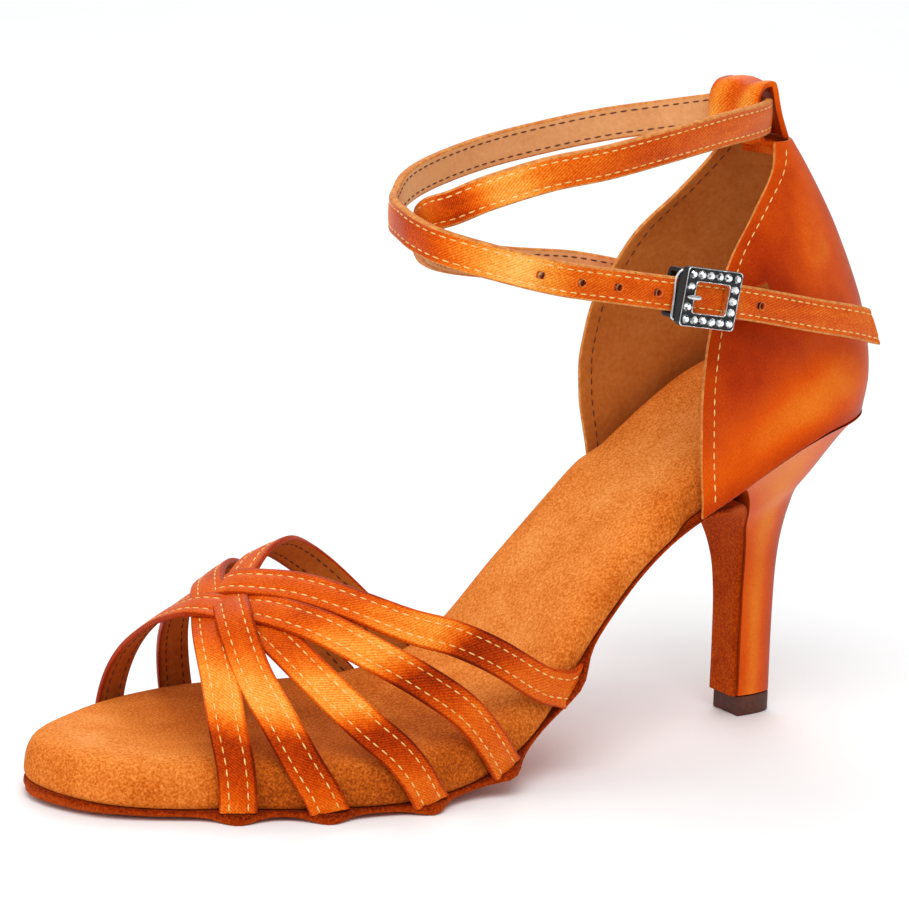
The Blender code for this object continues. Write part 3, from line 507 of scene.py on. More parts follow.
def add_noise(
    tree: bpy.types.NodeTree, place: bpy.types.NodeSocket, size: float, settings: dict
) -> bpy.types.Node:
    """Add a noise whose lumps measure about a size.

    Args:
        tree: Node tree that takes it.
        place: Place on the piece.
        size: Size of a lump in metres.
        settings: Its other settings.

    Returns:
        The noise's node.
    """
    return add_node(tree, "ShaderNodeTexNoise", {"Scale": 1.0 / size, **settings}, {"Vector": place})


def add_bump(
    tree: bpy.types.NodeTree, height: bpy.types.NodeSocket, strength: float, relief: float
) -> bpy.types.Node:
    """Add the relief of a surface.

    Args:
        tree: Node tree that takes it.
        height: Pattern of the relief.
        strength: Share of the relief that shows.
        relief: Height of the pattern in metres.

    Returns:
        The relief's node.
    """
    settings = {"Strength": strength, "Distance": relief}
    return add_node(tree, "ShaderNodeBump", settings, {"Height": height})


def mottle(
    tree: bpy.types.NodeTree,
    tint: bpy.types.NodeSocket,
    patterns: Sequence[tuple[bpy.types.Node, float]],
) -> bpy.types.NodeSocket:
    """Let patterns swing a tint both ways.

    Args:
        tree: Node tree that takes it.
        tint: The tint.
        patterns: Each pattern's node and how far it swings the tint.

    Returns:
        The mottled tint.
    """
    for pattern, amount in patterns:
        centred = add_node(
            tree,
            "ShaderNodeMath",
            {"operation": "SUBTRACT", 1: NOISE_MIDDLE},
            {0: pattern.outputs["Fac"]},
        )
        swung = add_node(
            tree,
            "ShaderNodeMath",
            {"operation": "MULTIPLY_ADD", 1: amount},
            {0: centred.outputs[0], 2: tint},
        )
        tint = swung.outputs[0]
    return tint


def colour_ramp(tree: bpy.types.NodeTree, source: bpy.types.NodeSocket, stops: Table) -> bpy.types.Node:
    """Ramp of colours over a value.

    Args:
        tree: Node tree that takes it.
        source: The value.
        stops: Place and hex colour of each stop.

    Returns:
        The ramp's node.
    """
    ramp = add_node(tree, "ShaderNodeValToRGB", None, {"Fac": source})
    elements = ramp.color_ramp.elements
    while len(elements) < len(stops):
        elements.new(0.5)
    for element, (place, colour) in zip(elements, stops):
        element.position = place
        element.color = linear(colour)
    return ramp


@dataclass(frozen=True)
class Satin:
    """Polyester satin with a soft brushed sheen: long threads, gold where the light runs along them, drawn
    as a painted highlight and painted shade through each piece's tint attribute.
    """

    name: str
    stops: tuple[tuple[float, str], ...]
    grain: float = 0.60
    grain_size: float = 0.00042
    grain_detail: float = 3.0
    drift: float = 0.24
    drift_size: float = 0.009
    drift_detail: float = 2.0
    hatch: float = 0.03
    twill: float = 0.0009
    waver: float = 1.2
    thread_height: float = 0.45
    relief: float = 0.00006
    bump: float = 0.5
    smoothest: float = 0.32
    roughest: float = 0.52
    ior: float = 1.5
    specular: float = 0.24
    specular_colour: str = "#FF9438"
    sheen: float = 0.06
    sheen_roughness: float = 0.4
    sheen_colour: str = "#FF9C3C"

    def material(self) -> bpy.types.Material:
        """Build the material; the piece's tint attribute slides it from painted shade to painted highlight.
        """
        material, tree = new_tree(self.name)
        place = add_node(tree, "ShaderNodeTexCoord").outputs["Object"]
        weave = add_node(tree, "ShaderNodeUVMap", {"uv_map": "surface"}).outputs["UV"]
        tint = add_node(tree, "ShaderNodeAttribute", {"attribute_name": "tint"}).outputs["Fac"]
        fine = add_noise(tree, place, self.grain_size, {"Detail": self.grain_detail})
        broad = add_noise(tree, place, self.drift_size, {"Detail": self.drift_detail})
        pitch = math.tau / (WAVE_PHASE * self.twill)
        threads = add_node(
            tree,
            "ShaderNodeTexWave",
            {"bands_direction": "DIAGONAL", "Scale": pitch, "Distortion": self.waver},
            {"Vector": weave},
        )
        patterns = ((fine, self.grain), (broad, self.drift), (threads, self.hatch))
        ramp = colour_ramp(tree, mottle(tree, tint, patterns), self.stops)
        nap = add_node(
            tree,
            "ShaderNodeMath",
            {"operation": "MULTIPLY_ADD", 1: self.thread_height},
            {0: threads.outputs["Fac"], 2: fine.outputs["Fac"]},
        )
        bump = add_bump(tree, nap.outputs[0], self.bump, self.relief)
        rough = add_node(
            tree,
            "ShaderNodeMapRange",
            {"To Min": self.smoothest, "To Max": self.roughest},
            {"Value": fine.outputs["Fac"]},
        )
        settings = {
            "IOR": self.ior,
            "Specular IOR Level": self.specular,
            "Specular Tint": linear(self.specular_colour),
            "Sheen Weight": self.sheen,
            "Sheen Roughness": self.sheen_roughness,
            "Sheen Tint": linear(self.sheen_colour),
        }
        links = {"Base Color": ramp.outputs["Color"], "Roughness": rough.outputs["Result"]}
        close_tree(tree, settings, links, bump)
        return material


@dataclass(frozen=True)
class Suede:
    """Brushed suede or microfibre: a short nap of light and dark flecks with no gloss."""

    name: str
    stops: tuple[tuple[float, str], ...]
    fleck: float = 1.25
    fleck_size: float = 0.0006
    fleck_roughness: float = 0.65
    brush: float = 0.50
    brush_size: float = 0.014
    brush_roughness: float = 0.6
    brush_swirl: float = 0.6
    detail: float = 4.0
    relief: float = 0.00035
    bump: float = 0.6
    roughness: float = 0.92
    ior: float = 1.45
    specular: float = 0.2
    specular_colour: str = "#FFB070"
    sheen: float = 0.12
    sheen_roughness: float = 0.55
    sheen_colour: str = "#FFA050"

    def material(self) -> bpy.types.Material:
        """Build the material; the tint attribute darkens or lightens it."""
        material, tree = new_tree(self.name)
        place = add_node(tree, "ShaderNodeTexCoord").outputs["Object"]
        tint = add_node(tree, "ShaderNodeAttribute", {"attribute_name": "tint"}).outputs["Fac"]
        settings = {"Detail": self.detail, "Roughness": self.fleck_roughness}
        fleck = add_noise(tree, place, self.fleck_size, settings)
        settings = {"Detail": self.detail, "Roughness": self.brush_roughness, "Distortion": self.brush_swirl}
        brush = add_noise(tree, place, self.brush_size, settings)
        patterns = ((fleck, self.fleck), (brush, self.brush))
        ramp = colour_ramp(tree, mottle(tree, tint, patterns), self.stops)
        bump = add_bump(tree, fleck.outputs["Fac"], self.bump, self.relief)
        settings = {
            "Roughness": self.roughness,
            "IOR": self.ior,
            "Specular IOR Level": self.specular,
            "Specular Tint": linear(self.specular_colour),
            "Sheen Weight": self.sheen,
            "Sheen Roughness": self.sheen_roughness,
            "Sheen Tint": linear(self.sheen_colour),
        }
        close_tree(tree, settings, {"Base Color": ramp.outputs["Color"]}, bump)
        return material


@dataclass(frozen=True)
class Plain:
    """Hard or twisted material with a fine grain: rubber, thread, enamel, plated metal, paper."""

    name: str
    dark: str
    light: str
    roughness: float
    metallic: float = 0.0
    ior: float = 1.5
    grain_size: float = 0.0012
    grain_detail: float = 3.0
    grain_from: float = 0.35
    grain_to: float = 0.65
    uneven: float = 0.2
    relief: float = 0.00003
    bump: float = 0.4

    def material(self) -> bpy.types.Material:
        """Build the material."""
        material, tree = new_tree(self.name)
        place = add_node(tree, "ShaderNodeTexCoord").outputs["Object"]
        grain = add_noise(tree, place, self.grain_size, {"Detail": self.grain_detail}).outputs["Fac"]
        ramp = colour_ramp(tree, grain, ((self.grain_from, self.dark), (self.grain_to, self.light)))
        bump = add_bump(tree, grain, self.bump, self.relief)
        rough = add_node(
            tree,
            "ShaderNodeMapRange",
            {
                "To Min": self.roughness * (1.0 - self.uneven),
                "To Max": self.roughness * (1.0 + self.uneven),
            },
            {"Value": grain},
        )
        settings = {"Metallic": self.metallic, "IOR": self.ior}
        links = {"Base Color": ramp.outputs["Color"], "Roughness": rough.outputs["Result"]}
        close_tree(tree, settings, links, bump)
        return material


@dataclass(frozen=True)
class Crystal:
    """Foil-backed cut glass: each facet mirrors a light or a dark part of the room, drawn as a painted
    reflection in its colour.
    """

    name: str
    stops: tuple[tuple[float, str], ...] = (
        (0.0, "#1C1E22"),
        (0.35, "#7C828A"),
        (0.7, "#DDE2E6"),
        (1.0, "#FFFFFF"),
    )
    roughness: float = 0.06
    metallic: float = 0.55
    coat: float = 1.0
    coat_roughness: float = 0.02

    def material(self) -> bpy.types.Material:
        """Build the material; the tint attribute holds each facet's painted reflection."""
        material, tree = new_tree(self.name)
        tint = add_node(tree, "ShaderNodeAttribute", {"attribute_name": "tint"}).outputs["Fac"]
        ramp = colour_ramp(tree, tint, self.stops)
        settings = {
            "Roughness": self.roughness,
            "Metallic": self.metallic,
            "Coat Weight": self.coat,
            "Coat Roughness": self.coat_roughness,
        }
        close_tree(tree, settings, {"Base Color": ramp.outputs["Color"]})
        return material


class Finish(Enum):
    """The finishes of the shoe."""

    # Smooth orange sheen of the dyed satin on the quarter, the heel and the loop; its ramp runs from deep
    # painted shade through the orange to a pale gold painted highlight
    SATIN = Satin(
        "dyed_polyester_satin_smooth",
        ((0.0, "#6C1402"), (0.25, "#B03004"), (0.50, "#DC5206"), (0.74, "#EC8424"), (1.0, "#FAC062")),
        grain=0.26,
        grain_size=0.0004,
        drift=0.26,
        drift_size=0.012,
    )
    # The same satin cut narrow: grain and slanting threads show, drawn about four times coarser than real;
    # its ramp too runs from painted shade to painted highlight
    STRAP_SATIN = Satin(
        "dyed_polyester_satin_twill",
        ((0.0, "#6A1604"), (0.25, "#B03406"), (0.50, "#DE5A0A"), (0.74, "#EE902E"), (1.0, "#FBC66C")),
        hatch=0.13,
    )
    # Matt tan inside of the counter and the toe straps, its flecks drawn coarser than real
    LINING = Suede(
        "microfibre_lining",
        ((0.0, "#7A3410"), (0.45, "#BC6E2E"), (0.75, "#D08A48"), (1.0, "#E4A468")),
        fleck_size=0.0012,
        fleck=0.45,
        brush=0.35,
        relief=0.0001,
        sheen=0.15,
    )
    # Paler tan inside of the ankle strap, its flecks drawn coarser than real
    STRAP_LINING = Suede(
        "pale_strap_lining",
        ((0.0, "#A8683A"), (0.45, "#DC9C66"), (0.75, "#EAB27E"), (1.0, "#F6CA9A")),
        fleck_size=0.0010,
        fleck=0.4,
        brush=0.3,
        relief=0.0001,
        sheen=0.1,
    )
    # Pale line of the cut and folded cloth
    CUT_EDGE = Plain("cut_cloth_edge", "#C06820", "#E09444", 0.75)
    # Deep rust nap of the suede sole, its flecks drawn about three times coarser than real
    SOLE = Suede(
        "chrome_tanned_suede_sole",
        ((0.0, "#5A1002"), (0.35, "#A43404"), (0.65, "#CC540E"), (1.0, "#E88A40")),
    )
    # Soft warm nap of the padded sock, its flecks drawn about three times coarser than real
    SOCK = Suede(
        "brushed_microfibre_sock",
        ((0.0, "#8A360A"), (0.3, "#C86018"), (0.6, "#EC8C3C"), (1.0, "#FFBC78")),
    )
    # Dull dark brown block under the heel
    RUBBER = Plain("moulded_rubber", "#42190A", "#5E280F", 0.6)
    # Golden yellow thread of the stitches outside
    THREAD = Plain("twisted_polyester_thread", "#E0A848", "#F8D48A", 0.6, relief=0.00008)
    # Brown thread of the stitches on the lining
    DARK_THREAD = Plain("brown_lining_thread", "#4A1E08", "#6E3412", 0.6, relief=0.00008)
    # Bright metal of the buckle's frame, pin and wire
    CHROME = Plain("bright_chrome_plate", "#D4D6D8", "#F2F3F4", 0.12, metallic=1.0)
    # Black face round the stones
    ENAMEL = Plain("black_enamel", "#030304", "#0C0C0E", 0.45)
    # Clear glass stones that glitter in the frame, their facets' brightness a painted reflection
    STONE = Crystal("cut_glass_stone")
    # White paper of the studio
    FLOOR = Plain("matt_paper_floor", "#FCFEFF", "#FDFFFF", 0.9, grain_size=0.05, relief=0.0)


MADE: dict[Finish, bpy.types.Material] = {}


def finish_of(finish: Finish) -> bpy.types.Material:
    """Material of a finish, built the first time that it is asked for.

    Args:
        finish: The finish.

    Returns:
        The material.
    """
    if finish not in MADE:
        MADE[finish] = finish.value.material()
    return MADE[finish]


def finished(
    name: str, bm: bmesh.types.BMesh, finishes: Sequence[Finish], sharp: float = CREASE
) -> bpy.types.Object:
    """Turn a mesh under construction into a piece at its place in the frame.

    Args:
        name: Name of the piece.
        bm: The mesh, used up by this call.
        finishes: Finish of each material number.
        sharp: Angle in degrees over which an edge stays crisp.

    Returns:
        The piece.
    """
    bmesh.ops.translate(bm, vec=DATUM, verts=bm.verts)
    mesh = bpy.data.meshes.new(name)
    bm.to_mesh(mesh)
    bm.free()
    mesh.shade_smooth()
    mesh.set_sharp_from_angle(angle=math.radians(sharp))
    for finish in finishes:
        mesh.materials.append(finish_of(finish))
    piece = bpy.data.objects.new(name, mesh)
    bpy.context.scene.collection.objects.link(piece)
    return piece


def hand_over(piece: bpy.types.Object, slot: str, *nodes: str) -> None:
    """Hang a piece under the root body, hide the parts that it stands for and log its faces.

    Args:
        piece: The piece.
        slot: Material slot in the record; not used.
        nodes: Nodes that the piece stands for.
    """
    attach(piece, "root")
    if nodes:
        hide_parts(*nodes)
    LOG.info("%s: %d faces", piece.name, len(piece.data.polygons))


@dataclass
class Cloth:
    """How a grid is dressed: its size for the weave, its zones of material and its tint."""

    size: tuple[float, float]
    zone: Callable[[int, int], int] = lambda row, place: 0
    tint: Pick = lambda row, place: PLAIN_TINT


def shaped_grid(
    name: str,
    rows: int,
    columns: int,
    place: Place,
    cloth: Cloth,
    finishes: Sequence[Finish],
    inside: Vector | None = None,
    sharp: float = CREASE,
) -> bpy.types.Object:
    """Lay a grid over a form and close it, or leave it open as a sheet round an inner point.

    Args:
        name: Name of the piece.
        rows: Squares along it.
        columns: Squares across or round it.
        place: Point of each crossing.
        cloth: Its dress.
        finishes: Finish of each material number.
        inside: For an open sheet, a point that its outer face looks away from.
        sharp: Angle in degrees over which an edge stays crisp.

    Returns:
        The piece.
    """
    bm = bmesh.new()
    bmesh.ops.create_grid(bm, x_segments=rows, y_segments=columns, size=0.5)
    surface = bm.loops.layers.uv.new("surface")
    tint = bm.verts.layers.float.new("tint")
    for face in bm.faces:
        middle = face.calc_center_median()
        face.material_index = cloth.zone(int((middle.x + 0.5) * rows), int((middle.y + 0.5) * columns))
        for loop in face.loops:
            flat = loop.vert.co
            loop[surface].uv = ((flat.x + 0.5) * cloth.size[0], (flat.y + 0.5) * cloth.size[1])
    for vert in bm.verts:
        row = round((vert.co.x + 0.5) * rows)
        spot = round((vert.co.y + 0.5) * columns)
        vert[tint] = cloth.tint(row, spot)
        vert.co = place(row, spot)
    bmesh.ops.remove_doubles(bm, verts=bm.verts, dist=SMALL)
    bmesh.ops.dissolve_degenerate(bm, edges=bm.edges, dist=SMALL)
    if inside is None:
        bmesh.ops.holes_fill(bm, edges=bm.edges, sides=0)
        bmesh.ops.recalc_face_normals(bm, faces=bm.faces)
    else:
        bm.normal_update()
        facing = sum(face.normal.dot(face.calc_center_median() - inside) for face in bm.faces)
        if facing < 0.0:
            bmesh.ops.reverse_faces(bm, faces=bm.faces)
    return finished(name, bm, finishes, sharp)


def thicken(piece: bpy.types.Object, wall: float, rim: float) -> None:
    """Give an open sheet its wall, its lining and its rounded cut edge.

    Args:
        piece: The sheet, its outer face out.
        wall: Thickness of the wall.
        rim: Rounding of its edges.
    """
    solid = piece.modifiers.new("wall", "SOLIDIFY")
    solid.thickness = wall
    solid.offset = -1.0
    solid.material_offset = 1
    solid.material_offset_rim = 2
    solid.use_even_offset = True
    round_off = piece.modifiers.new("rounded_rim", "BEVEL")
    round_off.width = rim
    round_off.segments = 2
    round_off.limit_method = "ANGLE"
    round_off.angle_limit = math.radians(RIM_ANGLE)


@dataclass
class Course:
    """Middle line of a strap with its outward and sideways directions."""

    points: list[Vector]
    outs: list[Vector]
    acrosses: list[Vector] = field(default_factory=list)
    arcs: list[float] = field(default_factory=list)

    def __post_init__(self) -> None:
        """Square the directions to the line and measure along it."""
        arc = 0.0
        acrosses = []
        for i, point in enumerate(self.points):
            along = heading(self.points, i).normalized()
            out = self.outs[i]
            out = (out - along * out.dot(along)).normalized()
            self.outs[i] = out
            acrosses.append(along.cross(out))
            arc += (point - self.points[i - 1]).length if i else 0.0
            self.arcs.append(arc)
        if not self.acrosses:
            self.acrosses = acrosses

    @property
    def length(self) -> float:
        """Length of the strap."""
        return self.arcs[-1]

    def side_line(self, across: float, out: float) -> list[Vector]:
        """Line that runs beside the middle line."""
        return [
            point + side * across + normal * out
            for point, side, normal in zip(self.points, self.acrosses, self.outs)
        ]


@dataclass(frozen=True)
class Band:
    """Cross-section of a strap: a flat band with rounded edges and sunk stitch rows."""

    width: float
    thickness: float
    corner: float
    crown: float = 0.00015
    furrow: float = 0.00022
    columns: int = 16
    rounds: int = 3
    row_share: float = 0.25
    furrow_spread: float = 0.0004

    def section(self) -> list[tuple[float, float, int]]:
        """Closed run of points: across, outward, and the zone of the face after each."""
        half = self.width / 2.0 - self.corner
        points: list[tuple[float, float, int]] = []
        for i in range(self.columns):
            across = -half + 2.0 * half * i / self.columns
            points.append((across, self.thickness + self.relief(across), 0))
        points.extend(self.edge(1.0, half))
        back = self.columns // 2
        for i in range(back):
            points.append((half - 2.0 * half * i / back, 0.0, 2))
        points.extend(self.edge(-1.0, half))
        points.append(points[0])
        return points

    def relief(self, across: float) -> float:
        """Crown of the outer face less its stitch furrows."""
        place = self.row_share * self.width
        crown = self.crown * (1.0 - (2.0 * across / self.width) ** 2)
        sunk = bell(across, place, self.furrow_spread) + bell(across, -place, self.furrow_spread)
        return crown - self.furrow * sunk

    def edge(self, side: float, half: float) -> list[tuple[float, float, int]]:
        """Rounded edge from the outer face to the inner one, or back on the far side."""
        turns = [(self.thickness - self.corner, 90.0), (self.corner, 0.0)]
        points = []
        for level, start in turns:
            for i in range(self.rounds):
                angle = math.radians(start - 90.0 * i / self.rounds)
                points.append(
                    (side * (half + self.corner * math.cos(angle)), level + self.corner * math.sin(angle), 1)
                )
        points.append((side * half, 0.0, 1))
        if side > 0.0:
            return points[:-1]
        return [(across, out, 1) for across, out, _ in reversed(points)][:-1]


def lay_strap(
    name: str,
    course: Course,
    band: Band,
    tint: Callable[[float, float], float],
    finishes: Sequence[Finish],
    edge_shade: float,
) -> bpy.types.Object:
    """Sweep a band along its course.

    Args:
        name: Name of the piece.
        course: Middle line, with the band's inner face on it.
        band: Cross-section.
        tint: Tint at a distance along and a distance across.
        finishes: Satin, edge and lining.
        edge_shade: Change of tint on the turned edges.

    Returns:
        The strap.
    """
    section = band.section()

    def place(row: int, spot: int) -> Vector:
        """Point of the band."""
        across, out, _ = section[spot]
        return course.points[row] + course.acrosses[row] * across + course.outs[row] * out

    def shade(row: int, spot: int) -> float:
        """Tint of the band."""
        across, _, zone = section[spot]
        return tint(course.arcs[row], across) + (edge_shade if zone == 1 else 0.0)

    girth = 2.0 * (band.width + band.thickness)
    cloth = Cloth((course.length, girth), lambda row, spot: section[spot][2], shade)
    return shaped_grid(name, len(course.points) - 1, len(section) - 1, place, cloth, finishes)


@dataclass(frozen=True)
class Thread:
    """A row of stitches, each a small flattened bead half sunk in the cloth."""

    pitch: float = 0.0025
    share: float = 0.72
    width: float = 0.00038
    height: float = 0.00034

    def bead(self) -> bpy.types.Mesh:
        """Mesh of one round bead, which each stitch stretches."""
        bm = bmesh.new()
        bmesh.ops.create_uvsphere(bm, u_segments=8, v_segments=4, radius=1.0)
        mesh = bpy.data.meshes.new("stitch_bead")
        bm.to_mesh(mesh)
        bm.free()
        return mesh

    def sew(self, bm: bmesh.types.BMesh, line: Sequence[Vector], outs: Sequence[Vector]) -> None:
        """Sew a row.

        Args:
            bm: Mesh that takes the stitches.
            line: Points on the cloth.
            outs: Outward direction at each.
        """
        stitch = self.bead()
        arcs = [0.0]
        for before, after in zip(line, line[1:]):
            arcs.append(arcs[-1] + (after - before).length)
        count = max(int(arcs[-1] / self.pitch), 1)
        index = 0
        for number in range(count):
            centre = (number + 0.5) * arcs[-1] / count
            while arcs[index + 1] < centre:
                index += 1
            share = (centre - arcs[index]) / max(arcs[index + 1] - arcs[index], SMALL)
            point = line[index].lerp(line[index + 1], share)
            along = (line[index + 1] - line[index]).normalized()
            out = outs[index].lerp(outs[index + 1], share)
            out = (out - along * out.dot(along)).normalized()
            half = (along * self.pitch * self.share, along.cross(out) * self.width, out * self.height)
            matrix = Matrix(half).transposed().to_4x4() * 0.5
            matrix[3][3] = 1.0
            matrix.translation = point
            stitch.transform(matrix)
            bm.from_mesh(stitch)
            stitch.transform(matrix.inverted())


def sew_rows(outside: bmesh.types.BMesh, lining: bmesh.types.BMesh, course: Course, band: Band) -> None:
    """Sew the two rows of a strap through to its lining.

    Args:
        outside: Mesh that takes the stitches on the satin.
        lining: Mesh that takes the stitches on the lining.
        course: Course of the strap, with its inner face on it.
        band: Cross-section of the strap.
    """
    under = [-out for out in course.outs]
    for side in (1.0, -1.0):
        across = side * band.row_share * band.width
        top = band.thickness + band.relief(across) + THREAD_PROUD
        Thread().sew(outside, course.side_line(across, top), course.outs)
        Thread().sew(lining, course.side_line(across, -LINING_THREAD_PROUD), under)


def hand_over_stitches(name: str, outside: bmesh.types.BMesh, lining: bmesh.types.BMesh) -> None:
    """Hand over the stitches of both faces, pale on the satin and dark on the lining.

    Args:
        name: Name of what they are sewn on.
        outside: Stitches on the satin.
        lining: Stitches on the lining.
    """
    hand_over(finished(f"{name}_stitches", outside, [Finish.THREAD]), "satin")
    hand_over(finished(f"{name}_lining_stitches", lining, [Finish.DARK_THREAD]), "satin")


@dataclass
class Sole:
    """Insole, outsole, heel and tap, all hung on one plan and one rise."""

    length: float = 0.217
    seat_start: float = 0.033
    seat_rise: float = 0.0708
    thickness: float = 0.0024
    shank_thickness: float = 0.0015
    shank_fade: tuple[float, float] = (0.46, 0.60)
    inset: float = 0.0004
    bump: float = 0.0036
    bump_width: float = 0.0046
    curl: float = 0.0010
    insole_thickness: float = 0.0105
    tap_height: float = 0.0048
    tap_width: float = 0.0100
    tap_length: float = 0.0112
    tap_front: float = 0.0352
    flap: float = 0.0015
    lip: float = 0.272
    lip_room: float = 0.012
    tuck: float = 0.0027
    tuck_fade: tuple[float, float] = (0.292, 0.322)
    top_share: float = 0.965
    heel_roundness: float = 2.2
    tap_roundness: float = 2.6
    sole_rows: int = 170
    breast_rows: int = 60
    heel_rows: int = 70
    heel_columns: int = 26
    pad_ripple: float = 0.00018
    pad_ripple_size: float = 0.014
    edge_wave: float = 0.00015
    edge_wave_size: float = 0.006
    edge_round: float = 0.0007
    slope_step: float = 0.002
    flap_inset: float = 0.0002
    tap_ease: float = 0.0004
    tap_middle: tuple[float, float] = (0.0016, 0.0032)
    # Painted highlight and painted shade round the heel: change of tint, then middle and spread from one
    # side to the other
    heel_tint: float = 0.40
    heel_painted_light: Table = ((0.22, 0.80, 0.16), (-0.26, 0.20, 0.26))
    # Lighter towards the tap, by this much at its foot
    heel_foot_tint: float = 0.04
    # Painted highlight under the outer edge of the seat: change of tint, middle and spread up the heel, and
    # round it
    seat_highlight: tuple[float, ...] = (0.10, 0.86, 0.12, 0.8, 0.2)
    # Padded sock: its tint, painted shade on the rolled edge and under the toe straps, and a painted
    # highlight at the toe
    sock_tint: float = 0.56
    sock_rolled_shade: float = 0.20
    sock_strap_shade: float = 0.20
    sock_toe_highlight: float = 0.08
    sole_tint: float = 0.48
    sole_edge_tint: float = 0.10
    sole_edge_rise: float = 0.36

    def __post_init__(self) -> None:
        """Draw the curves."""
        turns = [self.turn_of(row[0]) for row in PLAN]
        self.outer = Curve(turns, [row[1] * row[3] for row in PLAN])
        self.inner = Curve(turns, [-row[2] * row[3] for row in PLAN])
        self.rise = column(RISE, 1, self.seat_rise)
        self.breast_x = column(BREAST, 1)
        self.breast_z = column(BREAST, 2)
        self.flare = column(FLARE, 1)

    def turn_of(self, station: float) -> float:
        """Angle that runs evenly round the rounded ends of the sole."""
        share = (station - self.seat_start) / (1.0 - self.seat_start)
        return math.acos(1.0 - 2.0 * min(max(share, 0.0), 1.0))

    def station_of(self, turn: float) -> float:
        """Share of the sole's length at an angle."""
        return self.seat_start + (1.0 - self.seat_start) * (1.0 - math.cos(turn)) / 2.0

    def seam(self, station: float) -> float:
        """Height of the joint between outsole and insole."""
        return self.thickness + max(0.0, self.rise(min(max(station, 0.0), 1.0)))

    def side_curve(self, side: float) -> Curve:
        """Curve of the outer side, or of the inner one."""
        return self.outer if side > 0 else self.inner

    def plan_edge(self, turn: float, side: float, grow: float = 0.0) -> tuple[float, float]:
        """Point of the sole's outline.

        Args:
            turn: Angle of the row.
            side: 1 for the outer side, -1 for the inner.
            grow: Distance to move the point outwards.

        Returns:
            Its x and y.
        """
        curve = self.side_curve(side)
        small = 1e-4
        before = max(turn - small, 0.0)
        after = min(turn + small, math.pi)
        dx = self.length * (self.station_of(after) - self.station_of(before))
        dy = curve(after) - curve(before)
        size = math.hypot(dx, dy)
        x = self.length * self.station_of(turn) - side * dy / size * grow
        return x, curve(turn) + side * dx / size * grow

    def swell(self, station: float, side: float) -> float:
        """Share of the outsole's swell under the strap ends."""
        end = 0 if side > 0 else -1
        reaches = [(station - rows[end][0]) * self.length for rows in TOE_STRAPS.values()]
        return sum(bell(reach, 0.0, self.bump_width) for reach in reaches)

    def breast_point(self, share: float, away: float = 0.0) -> tuple[float, float]:
        """Point on the heel's front, as x and z, moved by away off the flap towards the heel."""
        lip_x = self.lip * self.length
        lip_z = self.seam(self.lip)

        def at(where: float) -> np.ndarray:
            """Point on the curve itself."""
            x = self.tap_front + FIT + (lip_x - self.tap_front - FIT) * self.breast_x(where)
            z = self.tap_height + FIT + (lip_z - self.tap_height - FIT) * self.breast_z(where)
            return np.array((x, z))

        step = 0.004
        along = at(min(share + step, 1.0)) - at(max(share - step, 0.0))
        along /= np.hypot(*along)
        x, z = at(share) + np.array((-along[1], along[0])) * away
        return float(x), float(z)

    def heel_half(self, share: float, reach: float, side: float) -> float:
        """Half breadth of the heel at a share of its height and of its depth."""
        tap = self.tap_width / 2.0
        tap *= (1.0 - (1.0 - min(reach, 1.0)) ** self.tap_roundness) ** (1.0 / self.tap_roundness)
        station = self.seat_start + (self.lip - self.seat_start) * reach
        seat = abs(self.side_curve(side)(self.turn_of(station)))
        return tap + (seat - tap) * self.flare(share)

    def heel_ring(self, share: float, away: float, columns: int, front: int) -> list[Vector]:
        """Closed ring round the heel.

        Args:
            share: Share of the heel's height.
            away: Room behind the flap.
            columns: Points on each side.
            front: Points across the front.

        Returns:
            Points from the inner front corner round the back to the outer one and across.
        """
        front_x, front_z = self.breast_point(share, away)
        tall = min(share / self.top_share, 1.0)
        back_x = self.tap_front - self.tap_length
        back_x -= (back_x - self.seat_start * self.length - FIT) * self.flare(tall)
        base = self.tap_height + FIT
        back_z = base + (self.seam(0.004) - base) * share / self.top_share
        sides: dict[int, list[Vector]] = {}
        for side in (1, -1):
            points = []
            for i in range(columns + 1):
                turn = math.pi / 2.0 * i / columns
                reach = 1.0 - max(math.cos(turn), 0.0) ** (2.0 / self.heel_roundness)
                x = back_x + (front_x - back_x) * reach
                z = back_z + (front_z - back_z) * reach
                if share > 0.0:
                    z += (self.seam(x / self.length) - z) * self.flare(share / self.top_share) ** 3
                points.append(Vector((x, side * self.heel_half(tall, reach, side), z)))
            sides[side] = points
        ring = list(reversed(sides[-1])) + sides[1][1:]
        closing = [ring[-1].lerp(ring[0], i / front) for i in range(1, front + 1)]
        return ring + closing

    def dress_insole(self) -> None:
        """Padded sock with its rolled edge and brushed suede face."""
        rows = self.sole_rows
        edge = resample(SOCK_EDGE, 3)
        spans = 22
        under = 8
        rings = []
        for i in range(rows + 1):
            turn = math.pi * (1.0 - i / rows)
            station = self.station_of(turn)
            tuck = self.tuck * (1.0 - smoothstep(*self.tuck_fade, station))
            sides = []
            for side in (1, -1):
                points = []
                for inset, height in edge:
                    grow = -tuck - inset * self.insole_thickness - FIT
                    x, y = self.plan_edge(turn, side, grow)
                    z = self.seam(x / self.length) + FIT + height * self.insole_thickness
                    points.append(Vector((x, y, z)))
                sides.append(points)
            outer, inner = sides
            top = [outer[-1].lerp(inner[-1], k / spans) for k in range(1, spans)]
            for k, point in enumerate(top, start=1):
                soft = self.pad_ripple * ripple(point, self.pad_ripple_size)
                point.z += soft * math.sin(math.pi * k / spans)
            bottom = [inner[0].lerp(outer[0], k / under) for k in range(1, under + 1)]
            rings.append(outer + top + list(reversed(inner)) + bottom)
        side_count = len(edge)

